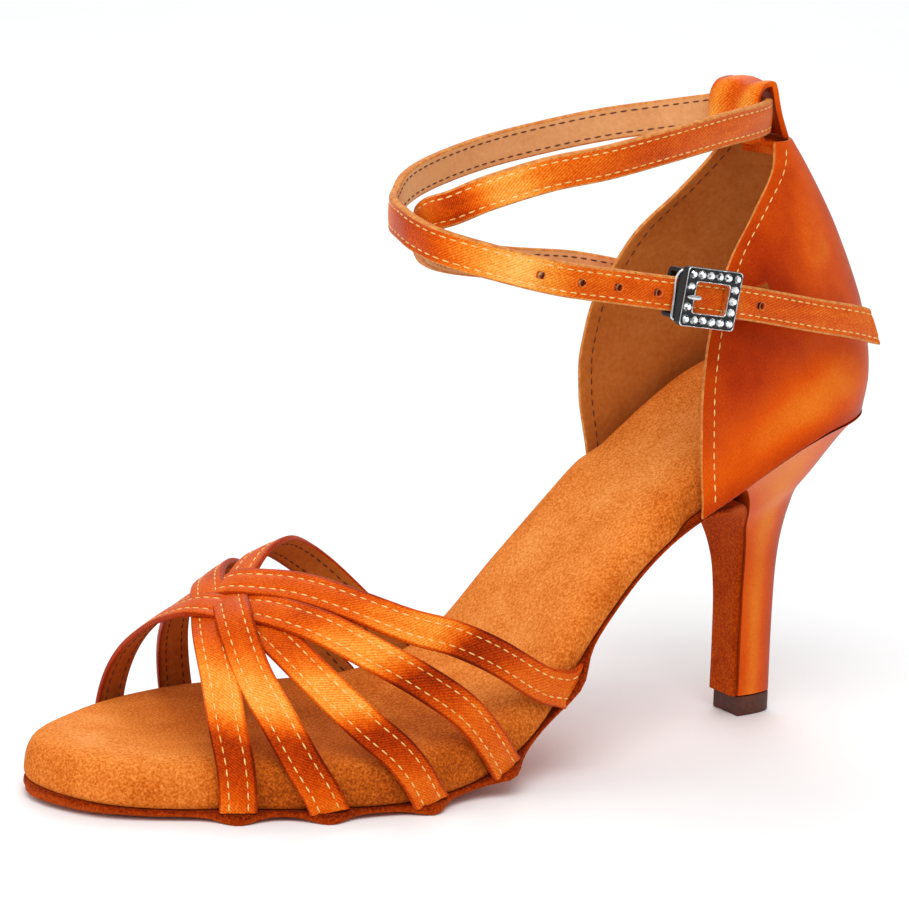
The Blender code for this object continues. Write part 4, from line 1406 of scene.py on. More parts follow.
        def shade(row: int, spot: int) -> float:
            """Painted shade on the rolled side and under the straps, a painted highlight at the toe."""
            point = rings[row][spot]
            last_side = 2 * side_count + spans - 2
            from_edge = min(spot, last_side - spot) if spot <= last_side else 0
            rolled = 1.0 - smoothstep(0.35 * side_count, side_count + 3, from_edge)
            station = point.x / self.length
            straps = smoothstep(0.50, 0.60, station) * (1.0 - smoothstep(0.80, 0.90, station))
            dark = self.sock_rolled_shade * rolled + self.sock_strap_shade * straps
            return self.sock_tint - dark + self.sock_toe_highlight * smoothstep(0.86, 0.98, station)

        cloth = Cloth((self.length, 0.1), tint=shade)
        piece = shaped_grid(
            "padded_insole",
            rows,
            len(rings[0]) - 1,
            lambda i, k: rings[i][k],
            cloth,
            [Finish.SOCK],
            sharp=SUEDE_CREASE,
        )
        hand_over(piece, "sock_suede", "insole")

    def dress_outsole(self) -> None:
        """Suede sole, swollen round the strap ends, running on down the front of the heel."""
        rows: list[tuple[Vector, Vector, Vector, list[float]]] = []
        for i in range(self.sole_rows + 1):
            turn = math.pi * (1.0 - i / self.sole_rows)
            station = self.station_of(turn)
            if station < self.lip + self.lip_room:
                break
            climb = self.seam(station + self.slope_step) - self.seam(station - self.slope_step)
            slope = climb / (2.0 * self.slope_step * self.length)
            normal = Vector((-slope, 0.0, 1.0)).normalized()
            shank = 1.0 - smoothstep(*self.shank_fade, station)
            thick = self.thickness + (self.shank_thickness - self.thickness) * shank
            ends = []
            for side in (1, -1):
                swell = self.swell(station, side)
                x, y = self.plan_edge(turn, side, self.bump * swell - self.inset)
                wave = self.edge_wave * ripple(Vector((x, y, 0.0)), self.edge_wave_size)
                ends.append(Vector((x, y, self.seam(min(x / self.length, 1.0)) + wave)))
            lifts = [self.curl * (1.0 - min(self.swell(station, side), 1.0)) for side in (1, -1)]
            rows.append((ends[0], ends[1], normal * -thick, lifts))
        for i in range(self.breast_rows + 1):
            share = 1.0 - i / self.breast_rows
            thick = self.flap + (self.shank_thickness - self.flap) * share**4
            x, z = self.breast_point(share)
            low_x, low_z = self.breast_point(share, -thick)
            reach = min(share / self.top_share, 1.0)
            ends = [
                Vector((x, side * (self.heel_half(reach, 1.0, side) - self.flap_inset), z))
                for side in (1, -1)
            ]
            rows.append((ends[0], ends[1], Vector((low_x - x, 0.0, low_z - z)), [0.0, 0.0]))
        section = self.sole_section()
        rings = []
        for outer, inner, down, lifts in rows:
            across = inner - outer
            wide = max(across.length, SMALL)
            ring = []
            for part, inset, depth in section:
                shift = min(inset / wide, 0.5)
                share = part + (shift if part < 0.5 else -shift)
                raised = UP * (lifts[0 if part < 0.5 else 1] * bell(min(part, 1.0 - part), 0.0, 0.05))
                ring.append(outer + across * share + down * depth + raised * depth)
            rings.append(ring)

        def shade(row: int, spot: int) -> float:
            """Even over the flat faces; on the edge dark at the top and paler towards the floor."""
            part, _, depth = section[spot]
            edge = part < 0.01 or part > 0.99
            return self.sole_edge_tint + self.sole_edge_rise * depth if edge else self.sole_tint

        cloth = Cloth((self.length, 0.1), tint=shade)
        piece = shaped_grid(
            "suede_outsole",
            len(rings) - 1,
            len(section) - 1,
            lambda i, k: rings[i][k],
            cloth,
            [Finish.SOLE],
            sharp=SUEDE_CREASE,
        )
        hand_over(piece, "sole_suede", "outsole")

    def sole_section(self) -> list[tuple[float, float, float]]:
        """Closed run round the outsole: share across, inset from that side, share of the thickness."""
        round_off = self.edge_round
        spans = 14
        run = [(0.0, round_off, 0.0)]
        run += [(k / spans, 0.0, 0.0) for k in range(1, spans)]
        run += [(1.0, round_off, 0.0), (1.0, 0.3 * round_off, 0.08), (1.0, 0.0, 0.30), (1.0, 0.0, 0.65)]
        run += [(1.0, 0.3 * round_off, 0.90), (1.0, round_off, 1.0)]
        run += [(1.0 - k / spans, 0.0, 1.0) for k in range(1, spans)]
        run += [(0.0, round_off, 1.0), (0.0, 0.3 * round_off, 0.90), (0.0, 0.0, 0.65), (0.0, 0.0, 0.30)]
        run += [(0.0, 0.3 * round_off, 0.08), (0.0, round_off, 0.0)]
        return run

    def dress_heel(self) -> None:
        """Slim heel wrapped in satin."""
        rows = self.heel_rows
        columns = self.heel_columns
        rings = [self.heel_ring(self.top_share * i / rows, FIT, columns, 8) for i in range(rows + 1)]

        def shade(row: int, spot: int) -> float:
            """Painted highlight down the outer flank, painted shade towards the back."""
            turn = (spot - columns) / columns
            up = row / rows
            tint = self.heel_tint + bells(turn, self.heel_painted_light) + self.heel_foot_tint * (1.0 - up)
            change, level, rise, around, width = self.seat_highlight
            return tint + change * bell(up, level, rise) * bell(turn, around, width)

        cloth = Cloth((0.07, 0.06), tint=shade)
        piece = shaped_grid(
            "satin_heel", rows, len(rings[0]) - 1, lambda i, k: rings[i][k], cloth, [Finish.SATIN]
        )
        hand_over(piece, "satin", "heel")

    def dress_tap(self) -> None:
        """Rubber top piece with eased edges."""
        columns = 20
        outline = self.heel_ring(0.0, FIT, columns, 8)
        middle = Vector((self.tap_front - self.tap_length / 2.0, 0.0, 0.0))
        ease = self.tap_ease
        levels = (
            (0.0, ease),
            (0.25 * ease, 0.25 * ease),
            (ease, 0.0),
            *((level, 0.0) for level in self.tap_middle),
            (self.tap_height - ease, 0.0),
            (self.tap_height - 0.25 * ease, 0.25 * ease),
            (self.tap_height, ease),
        )

        def place(row: int, spot: int) -> Vector:
            """Point of the tap."""
            height, inset = levels[row]
            point = Vector((min(outline[spot].x, self.tap_front), outline[spot].y, 0.0))
            inward = (middle - point).normalized()
            point += inward * inset
            point.z = height
            return point

        cloth = Cloth((0.005, 0.04))
        piece = shaped_grid(
            "rubber_heel_tap", len(levels) - 1, len(outline) - 1, place, cloth, [Finish.RUBBER]
        )
        hand_over(piece, "tap_rubber", "heel_tap")


@dataclass
class Counter:
    """Quarters and counter in one lined wall, open at the top, the front and the foot."""

    sole: Sole
    wall: float = 0.0011
    height: float = 0.063
    reach: float = 0.0643
    width: float = 0.0512
    roundness: float = 2.4
    proud: float = 0.0004
    blend: float = 0.020
    stitch_in: float = 0.0034
    columns: int = 150
    rows: int = 90
    slack: float = 0.00022
    slack_size: float = 0.013
    tint: float = 0.44
    # Painted highlight and painted shade: change of tint, middle and spread round the wall, middle and
    # spread up it
    painted_light: Table = (
        (0.08, 0.60, 0.20, 0.75, 0.30),
        (0.22, 0.66, 0.30, 0.13, 0.10),
        (-0.26, 0.88, 0.16, 0.50, 0.30),
    )
    # Bands of painted shade and painted highlight from foot to topline, and of painted shade along the foot:
    # change of tint, middle and spread
    upright_painted_light: Table = ((-0.16, 0.20, 0.20), (0.10, -0.6, 0.3))
    foot_painted_shade: Table = ((-0.16, 0.0, 0.05),)
    unevenness: float = 0.05
    uneven_waves: float = 300.0

    def __post_init__(self) -> None:
        """Draw the curves."""
        self.back = column(COUNTER, 1, self.reach)
        self.front = column(COUNTER, 2, self.reach)
        self.half = column(COUNTER, 3, self.width)
        self.low = COUNTER[0][0]
        self.seat = self.sole.seam(0.0)

    def point(self, turn: float, height_share: float) -> Vector:
        """Point on the outside.

        Args:
            turn: From -1 at the inner front edge round the back to 1 at the outer.
            height_share: Share of the way up.

        Returns:
            The point.
        """
        angle = abs(turn) * math.pi / 2.0
        side = 1 if turn >= 0 else -1
        reach = 1.0 - max(math.cos(angle), 0.0) ** (2.0 / self.roundness)
        z = self.seat
        for _ in range(6):
            share = max((z - self.seat) / self.height, self.low)
            back = self.back(share)
            x = back + (self.front(share) - back) * reach
            bottom = self.sole.seam(max(x, 0.0) / self.sole.length) + FIT
            z = bottom + (self.seat + self.height - bottom) * height_share
        half = self.half(max((z - self.seat) / self.height, self.low))
        upper = half * math.sin(angle) ** (2.0 / self.roundness)
        curve = self.sole.side_curve(side)
        place = self.sole.seat_start + (x - back) / self.sole.length
        lower = abs(curve(self.sole.turn_of(place))) + self.proud * math.sin(angle)
        y = side * (lower + (upper - lower) * smoothstep(0.0, self.blend, z - bottom))
        return Vector((x, y, z))

    def frame_at(self, turn: float, height_share: float) -> tuple[Vector, Vector, Vector]:
        """Point on the outside with its outward and upward directions."""
        step = 0.01
        place = self.point(turn, height_share)
        along = self.point(min(turn + step, 1.0), height_share)
        along -= self.point(max(turn - step, -1.0), height_share)
        upward = self.point(turn, min(height_share + step, 1.0))
        upward -= self.point(turn, max(height_share - step, 0.0))
        normal = along.cross(upward).normalized()
        if normal.dot(place - Vector((self.reach, 0.0, place.z))) < 0.0:
            normal.negate()
        return place, normal, upward.normalized()

    def dress(self) -> None:
        """Satin outside, lining inside, a pale cut edge and a row of stitches beside it."""
        grid = [
            [self.point(-1.0 + 2.0 * k / self.columns, i / self.rows) for k in range(self.columns + 1)]
            for i in range(self.rows + 1)
        ]
        inside = Vector((0.5 * self.reach, 0.0, self.seat + 0.5 * self.height))

        def place(i: int, k: int) -> Vector:
            """Point of the wall, with slight slack in the cloth."""
            point = grid[i][k]
            away = Vector((point.x - inside.x, point.y, 0.0)).normalized()
            inner = math.sin(math.pi * i / self.rows) * math.sin(math.pi * k / self.columns)
            return point + away * (self.slack * ripple(point, self.slack_size) * inner)

        def shade(i: int, k: int) -> float:
            """Painted highlight and painted shade of the satin on the outer quarter."""
            turn = -1.0 + 2.0 * k / self.columns
            high = i / self.rows
            tint = self.tint
            for change, around, width, level, rise in self.painted_light:
                tint += change * bell(turn, around, width) * bell(high, level, rise)
            uneven = self.unevenness * noise.noise(grid[i][k] * self.uneven_waves)
            tint += uneven * smoothstep(0.15, 0.45, high)
            return tint + bells(high, self.foot_painted_shade) + bells(turn, self.upright_painted_light)

        cloth = Cloth((self.height, 0.15), tint=shade)
        finishes = [Finish.SATIN, Finish.LINING, Finish.CUT_EDGE]
        piece = shaped_grid(
            "satin_counter",
            self.rows,
            self.columns,
            place,
            cloth,
            finishes,
            inside=inside,
            sharp=SHEET_CREASE,
        )
        thicken(piece, self.wall, SHEET_RIM)
        hand_over(piece, "satin", "counter")
        self.sew(grid)

    def sew(self, grid: list[list[Vector]]) -> None:
        """Stitches beside the front edges, pale outside and dark on the lining."""
        outside = bmesh.new()
        lining = bmesh.new()
        for side in (1, -1):
            line = []
            normals = []
            for i in range(2, self.rows - 1):
                row = grid[i] if side > 0 else list(reversed(grid[i]))
                k = self.columns
                while (row[k] - row[self.columns]).length < self.stitch_in:
                    k -= 1
                far = (row[k] - row[self.columns]).length
                near = (row[k + 1] - row[self.columns]).length
                spot = row[k + 1].lerp(row[k], (self.stitch_in - near) / (far - near))
                upward = (grid[i + 1][0] - grid[i - 1][0]).normalized()
                normal = (row[k] - row[k + 1]).cross(upward).normalized()
                if normal.y * side < 0.0:
                    normal.negate()
                line.append(spot)
                normals.append(normal)
            lifted = [spot + normal * WALL_THREAD_PROUD for spot, normal in zip(line, normals)]
            Thread().sew(outside, lifted, normals)
            depth = self.wall + WALL_THREAD_PROUD
            sunk = [spot - normal * depth for spot, normal in zip(line, normals)]
            Thread().sew(lining, sunk, [-normal for normal in normals])
        hand_over_stitches("counter", outside, lining)


@dataclass
class ToeStraps:
    """Five satin straps woven over the toes."""

    sole: Sole
    width: float = 0.0084
    thickness: float = 0.0013
    lift: float = 0.0005
    layer: float = 0.0013
    foot_share: float = 0.09
    foot_tuck: float = 0.0007
    foot_skew: float = 0.65
    instep: float = 0.070
    outer_roundness: float = 1.9
    inner_roundness: float = 2.0
    steps: int = 20
    # Tint along a strap round the line where its band of deep painted shade turns to a gold painted
    # highlight, in metres from it
    run: tuple[float, ...] = (-0.060, -0.017, -0.011, -0.006, -0.002, 0.002, 0.006, 0.014, 0.020, 0.027)
    run_tint: tuple[float, ...] = (0.52, 0.50, 0.30, 0.16, 0.16, 0.56, 0.80, 0.76, 0.52, 0.30)
    # Where each strap's line from painted shade to painted highlight lies, in metres along it, and how
    # strong its painted highlight is
    highlight_from: tuple[float, ...] = (0.0170, 0.0192, 0.0232, 0.0350, 0.0345)
    highlight_strength: tuple[float, ...] = (1.0, 1.0, 0.92, 0.80, 0.62)
    slant: float = 0.7
    ragged: float = 0.0011
    ragged_waves: tuple[float, float] = (500.0, 900.0)
    # Tint beyond the painted highlight, its painted shade before the inner foot, and where it takes over
    far_tint: float = 0.44
    far_band: Table = ((-0.10, 0.012, 0.008),)
    far_from: float = 0.020
    far_full: float = 0.034
    streaks: float = 0.06
    streak_waves: tuple[float, float] = (60.0, 500.0)
    edge_shade: float = -0.22
    corner: float = 0.00045

    def __post_init__(self) -> None:
        """Draw the curves of the last."""
        self.ridge_y = column(RIDGE, 1, BALL_WIDTH)
        self.ridge_z = column(RIDGE, 2, self.instep)

    def last_point(self, station: float, over: float) -> Vector:
        """Point on the last: over from 0 at the outer edge to 1 at the inner."""
        angle = math.pi * over
        cosine = math.cos(angle)
        power = 2.0 / (self.outer_roundness if cosine >= 0.0 else self.inner_roundness)
        edge = self.sole.side_curve(1 if cosine >= 0.0 else -1)(self.sole.turn_of(station))
        ridge = self.ridge_y(station)
        low = self.sole.seam(station) + 3 * FIT
        y = ridge + (edge - ridge) * abs(cosine) ** power
        z = low + (self.ridge_z(station) - low) * abs(math.sin(angle)) ** power
        return Vector((station * self.sole.length, y, z))

    def course(self, rows: Table) -> Course:
        """Course of a strap over the last, its feet cut along the sole's edge."""
        step = 0.002
        points = []
        outs = []
        edges = []
        for station, over, layers in resample(rows, self.steps):
            over = min(max(over, 0.0), 1.0)
            along = self.last_point(station + step, over) - self.last_point(station - step, over)
            around = self.last_point(station, min(over + step, 1.0))
            around -= self.last_point(station, max(over - step, 0.0))
            normal = around.cross(along).normalized()
            point = self.last_point(station, over) + normal * (self.lift + self.layer * max(layers, 0.0))
            nearest = min(over, 1.0 - over)
            point.z -= self.foot_tuck * (1.0 - smoothstep(0.0, 0.04, nearest))
            points.append(point)
            outs.append(normal)
            edges.append((along.normalized(), 1.0 - smoothstep(0.0, self.foot_share, nearest)))
        course = Course(points, outs)
        for i, (edge, weight) in enumerate(edges):
            across = course.acrosses[i]
            course.acrosses[i] = across.lerp(edge / edge.dot(across), self.foot_skew * weight)
        return course

    def dress(self) -> None:
        """Lay and sew the straps."""
        band = Band(self.width, self.thickness, self.corner)
        outside = bmesh.new()
        lining = bmesh.new()
        for number, (name, rows) in enumerate(TOE_STRAPS.items()):
            course = self.course(rows)
            total = course.length

            def tint(arc: float, across: float, total: float = total, number: int = number) -> float:
                """Painted highlight and painted shade along the strap."""
                start = self.highlight_from[number]
                ragged = self.ragged * streak(arc, across, self.ragged_waves, 2.0)
                place = arc - start + self.slant * across + ragged
                near = float(np.interp(place, self.run, self.run_tint))
                if near > PLAIN_TINT:
                    near = PLAIN_TINT + (near - PLAIN_TINT) * self.highlight_strength[number]
                far = self.far_tint + bells(total - arc, self.far_band)
                blend = smoothstep(start + self.far_from, start + self.far_full, arc)
                streaks = self.streaks * streak(arc, across, self.streak_waves, 7.0 * number)
                return near + (far - near) * blend + streaks

            finishes = [Finish.STRAP_SATIN, Finish.STRAP_SATIN, Finish.LINING]
            piece = lay_strap(f"toe_strap_{name}", course, band, tint, finishes, self.edge_shade)
            hand_over(piece, "satin", "vamp_straps")
            sew_rows(outside, lining, course, band)
        hand_over_stitches("toe_strap", outside, lining)


@dataclass
class AnkleStrap:
    """Long satin strap that wraps the ankle twice and carries the buckle."""

    counter: Counter
    width: float = 0.0078
    thickness: float = 0.0018
    length: float = 0.1000
    span: float = 0.0660
    drop: float = 0.0400
    over_counter: float = 0.0065
    in_loop: float = 0.52
    loop_depth: float = 0.0140
    steps: int = 20
    last_run_row: int = 31
    # Row of the course where a painted shade darkens the strap
    dark_row: float = 10.2
    buckle_forward: float = 0.360
    holes: tuple[float, ...] = (0.790, 0.695, 0.600, 0.495, 0.195)
    hole_diameter: float = 0.0016
    corner: float = 0.0005
    row_share: float = 0.32
    tint: float = 0.47
    broad: float = 0.14
    broad_waves: float = 28.0
    streaks: float = 0.07
    streak_waves: tuple[float, float] = (90.0, 600.0)
    # Painted highlight and painted shade in front of the ankle: change of tint, middle and spread along the
    # run
    front_painted_light: Table = ((0.30, 0.84, 0.09), (-0.16, 0.99, 0.03))
    # Depth and spread of the painted shade at dark_row
    dark: float = 0.34
    dark_spread: float = 0.006
    # Slant of the tail's end, and where it sets in and is full, measured from the end
    tail_slant: float = 0.95
    tail_from: float = -0.008
    tail_to: float = -0.001
    rim_room: float = 0.00006
    rim_thickness: float = 0.00009
    rim_overlap: float = 1.2

    def __post_init__(self) -> None:
        """Lay the middle line."""
        start = self.counter.back(1.0) + self.in_loop * self.loop_depth
        level = self.counter.seat + self.counter.height + self.over_counter
        self.start_x = start
        rows = [(start + a * self.length, b * self.span, level + c * self.drop) for a, b, c in ANKLE_ROUTE]
        points = [Vector(row) for row in resample(rows, self.steps)]
        outs = [heading(points, i).cross(UP).normalized() for i in range(len(points))]
        self.course = Course(points, outs)

    def matrix(self, forward: float) -> Matrix:
        """Matrix of a place on the last run: x to the toe, y up across it, z outward."""
        points = self.course.points
        target = self.start_x + forward * self.length
        index = self.steps * self.last_run_row
        while points[index + 1].x > target:
            index += 1
        part = (points[index].x - target) / (points[index].x - points[index + 1].x)
        along = (points[index] - points[index + 1]).normalized()
        out = self.course.outs[index].lerp(self.course.outs[index + 1], part)
        out = (out - along * out.dot(along)).normalized()
        matrix = Matrix((along, out.cross(along), out)).transposed().to_4x4()
        matrix.translation = points[index].lerp(points[index + 1], part) + out * (self.thickness / 2.0)
        return matrix

    def dress(self, prong_hole: float) -> None:
        """Lay, punch and sew the strap.

        Args:
            prong_hole: Distance of the pin's hole from the buckle's middle.
        """
        half = self.thickness / 2.0
        inner = [p - out * half for p, out in zip(self.course.points, self.course.outs)]
        course = Course(inner, list(self.course.outs))
        band = Band(self.width, self.thickness, self.corner, row_share=self.row_share)
        forwards = [(point.x - self.start_x) / self.length for point in course.points]
        dark_at = course.arcs[round(self.dark_row * self.steps)]

        def tint(arc: float, across: float) -> float:
            """Painted highlight and painted shade along the strap: a broad swing, fine streaks, bands in
            front of the ankle and a shaded place.
            """
            broad = noise.noise(Vector((arc * self.broad_waves, 3.0, 1.0)))
            streaks = streak(arc, across, self.streak_waves, 4.0)
            forward = float(np.interp(arc, course.arcs, forwards))
            front = bells(forward, self.front_painted_light) - self.dark * bell(arc, dark_at, self.dark_spread)
            return self.tint + self.broad * broad + self.streaks * streaks + front

        for i, arc in enumerate(course.arcs):
            oblique = self.tail_slant * smoothstep(self.tail_from, self.tail_to, arc - course.length)
            course.acrosses[i] = course.acrosses[i] + heading(course.points, i).normalized() * oblique
        finishes = [Finish.STRAP_SATIN, Finish.CUT_EDGE, Finish.STRAP_LINING]
        strap = lay_strap("satin_ankle_strap", course, band, tint, finishes, 0.0)
        places = [self.matrix(forward) for forward in self.holes]
        places.append(self.matrix(self.buckle_forward) @ Matrix.Translation((prong_hole, 0.0, 0.0)))
        self.punch(strap, places)
        hand_over(strap, "satin", "ankle_strap")
        self.rim(places)
        outside = bmesh.new()
        lining = bmesh.new()
        sew_rows(outside, lining, course, band)
        hand_over_stitches("ankle_strap", outside, lining)

    def punch(self, strap: bpy.types.Object, places: list[Matrix]) -> None:
        """Cut the holes through the strap."""
        bm = bmesh.new()
        for place in places:
            bmesh.ops.create_cone(
                bm,
                cap_ends=True,
                segments=16,
                radius1=self.hole_diameter / 2.0,
                radius2=self.hole_diameter / 2.0,
                depth=4.0 * self.thickness,
                matrix=place,
            )
        cutter = finished("hole_punch", bm, [Finish.DARK_THREAD])
        cut = strap.modifiers.new("holes", "BOOLEAN")
        cut.operation = "DIFFERENCE"
        cut.solver = "EXACT"
        cut.object = cutter
        bpy.context.view_layer.update()
        shown = strap.evaluated_get(bpy.context.evaluated_depsgraph_get())
        mesh = bpy.data.meshes.new_from_object(shown)
        strap.modifiers.clear()
        strap.data = mesh
        bpy.data.objects.remove(cutter, do_unlink=True)

    def rim(self, places: list[Matrix]) -> None:
        """Pale frayed ring round each hole."""
        around = 18
        tube = 6
        radius = self.hole_diameter / 2.0 + self.rim_room
        thick = self.rim_thickness
        bm = bmesh.new()
        for place in places:
            for i in range(around):
                first = math.tau * i / around
                turn = Matrix.Rotation(first, 4, "Z")
                spot = turn @ Matrix.Translation((radius, 0.0, self.thickness / 2.0))
                long = self.rim_overlap * radius * math.pi / around
                shape = Matrix.Diagonal((thick, long, thick, 1.0))
                bmesh.ops.create_uvsphere(
                    bm, u_segments=tube, v_segments=4, radius=1.0, matrix=place @ spot @ shape
                )
        hand_over(finished("punched_hole_rims", bm, [Finish.CUT_EDGE]), "satin")


@dataclass
class BackLoop:
    """Satin tab that rises from the counter and folds forward over the strap."""

    counter: Counter
    width: float = 0.0145
    thickness: float = 0.0012
    height: float = 0.0130
    depth: float = 0.0140
    turn: float = math.radians(14.0)
    columns: int = 24
    steps: int = 10
    fold_depth: float = 0.00035
    fold_across: float = 5.0
    fold_along: float = 9.0
    tint: float = 0.46
    # Painted highlight and painted shade over the soft folds, and a band of painted highlight over the top
    # of the tab: change of tint, middle and spread along it
    fold_painted_light: float = 0.12
    face_highlight: Table = ((0.20, 0.62, 0.10),)

    def fold(self, share: float, along: float) -> float:
        """Soft fold of the tab from -1 to 1, at a share across and a share along."""
        return math.sin(self.fold_across * share + self.fold_along * along)

    def dress(self) -> None:
        """Lay the tab with its soft folds."""
        rows = resample(LOOP_ROUTE, self.steps)
        start_x = self.counter.back(1.0)
        start_z = self.counter.seat + self.counter.height + FIT
        last = len(rows) - 1
        grid = []
        for i, (forward, up, bend) in enumerate(rows):
            before = rows[max(i - 1, 0)]
            after = rows[min(i + 1, last)]
            along = Vector(((after[0] - before[0]) * self.depth, (after[1] - before[1]) * self.height))
            along.normalize()
            out = Vector((-along.y, 0.0, along.x))
            middle = Vector((start_x + forward * self.depth, 0.0, start_z + up * self.height))
            turned = self.turn * smoothstep(0.30, 0.95, forward)
            across = Vector((-math.sin(turned), math.cos(turned), 0.0))
            row = []
            for k in range(self.columns + 1):
                share = -1.0 + 2.0 * k / self.columns
                point = middle + across * (share * self.width / 2.0)
                point.x += bend * share * share
                fold = self.fold_depth * self.fold(share, i / last) * math.sin(math.pi * i / last)
                row.append(point + out * fold)
            grid.append(row)
        inside = Vector((start_x + 0.5 * self.depth, 0.0, start_z + 0.4 * self.height))

        def shade(i: int, k: int) -> float:
            """Painted highlight on the face and painted shade in its folds."""
            fold = self.fold(-1.0 + 2.0 * k / self.columns, i / last)
            return self.tint + self.fold_painted_light * fold + bells(i / last, self.face_highlight)

        cloth = Cloth((0.06, self.width), tint=shade)
        piece = shaped_grid(
            "satin_back_loop",
            last,
            self.columns,
            lambda i, k: grid[i][k],
            cloth,
            [Finish.STRAP_SATIN, Finish.SATIN, Finish.SATIN],
            inside=inside,
            sharp=SHEET_CREASE,
        )
        thicken(piece, self.thickness, SHEET_RIM)
        hand_over(piece, "satin", "back_loop")


def rounded_loop(length: float, height: float, radius: float, corner: int, side: int) -> list[Vector]:
    """Rounded rectangle as a closed run of points with the same count for any size.

    Args:
        length: Along x.
        height: Along y.
        radius: Of its corners.
        corner: Steps round each corner.
        side: Steps along each side.

    Returns:
        The points, the first one again at the end.
    """
    points = []
    signs = ((1, 1), (-1, 1), (-1, -1), (1, -1))
    for number, (sx, sy) in enumerate(signs):
        centre = Vector((sx * (length / 2.0 - radius), sy * (height / 2.0 - radius), 0.0))
        start = math.pi / 2.0 * number
        for i in range(corner + 1):
            angle = start + math.pi / 2.0 * i / corner
            points.append(centre + Vector((math.cos(angle), math.sin(angle), 0.0)) * radius)
    run = []
    for number in range(4):
        arc = points[number * (corner + 1) : (number + 1) * (corner + 1)]
        following = points[((number + 1) % 4) * (corner + 1)]
        run.extend(arc)
        run.extend(arc[-1].lerp(following, i / side) for i in range(1, side))
    run.append(run[0])
    return run


def lay_tube(
    name: str, points: Sequence[Vector], radii: Sequence[float], finish: Finish, around: int = 14
) -> bpy.types.Object:
    """Round bar along a line, closed at both ends.

    Args:
        name: Name of the piece.
        points: Middle line.
        radii: Radius at each point.
        finish: Its finish.
        around: Steps round it.

    Returns:
        The bar.
    """
    course = Course(list(points), [Vector((0.31, 0.17, 0.93)) for _ in points])

    def place(row: int, spot: int) -> Vector:
        """Point of the bar."""
        angle = math.tau * spot / around
        ray = course.outs[row] * math.cos(angle) + course.acrosses[row] * math.sin(angle)
        return course.points[row] + ray * radii[row]

    cloth = Cloth((course.length, 0.003))
    return shaped_grid(name, len(points) - 1, around, place, cloth, [finish])


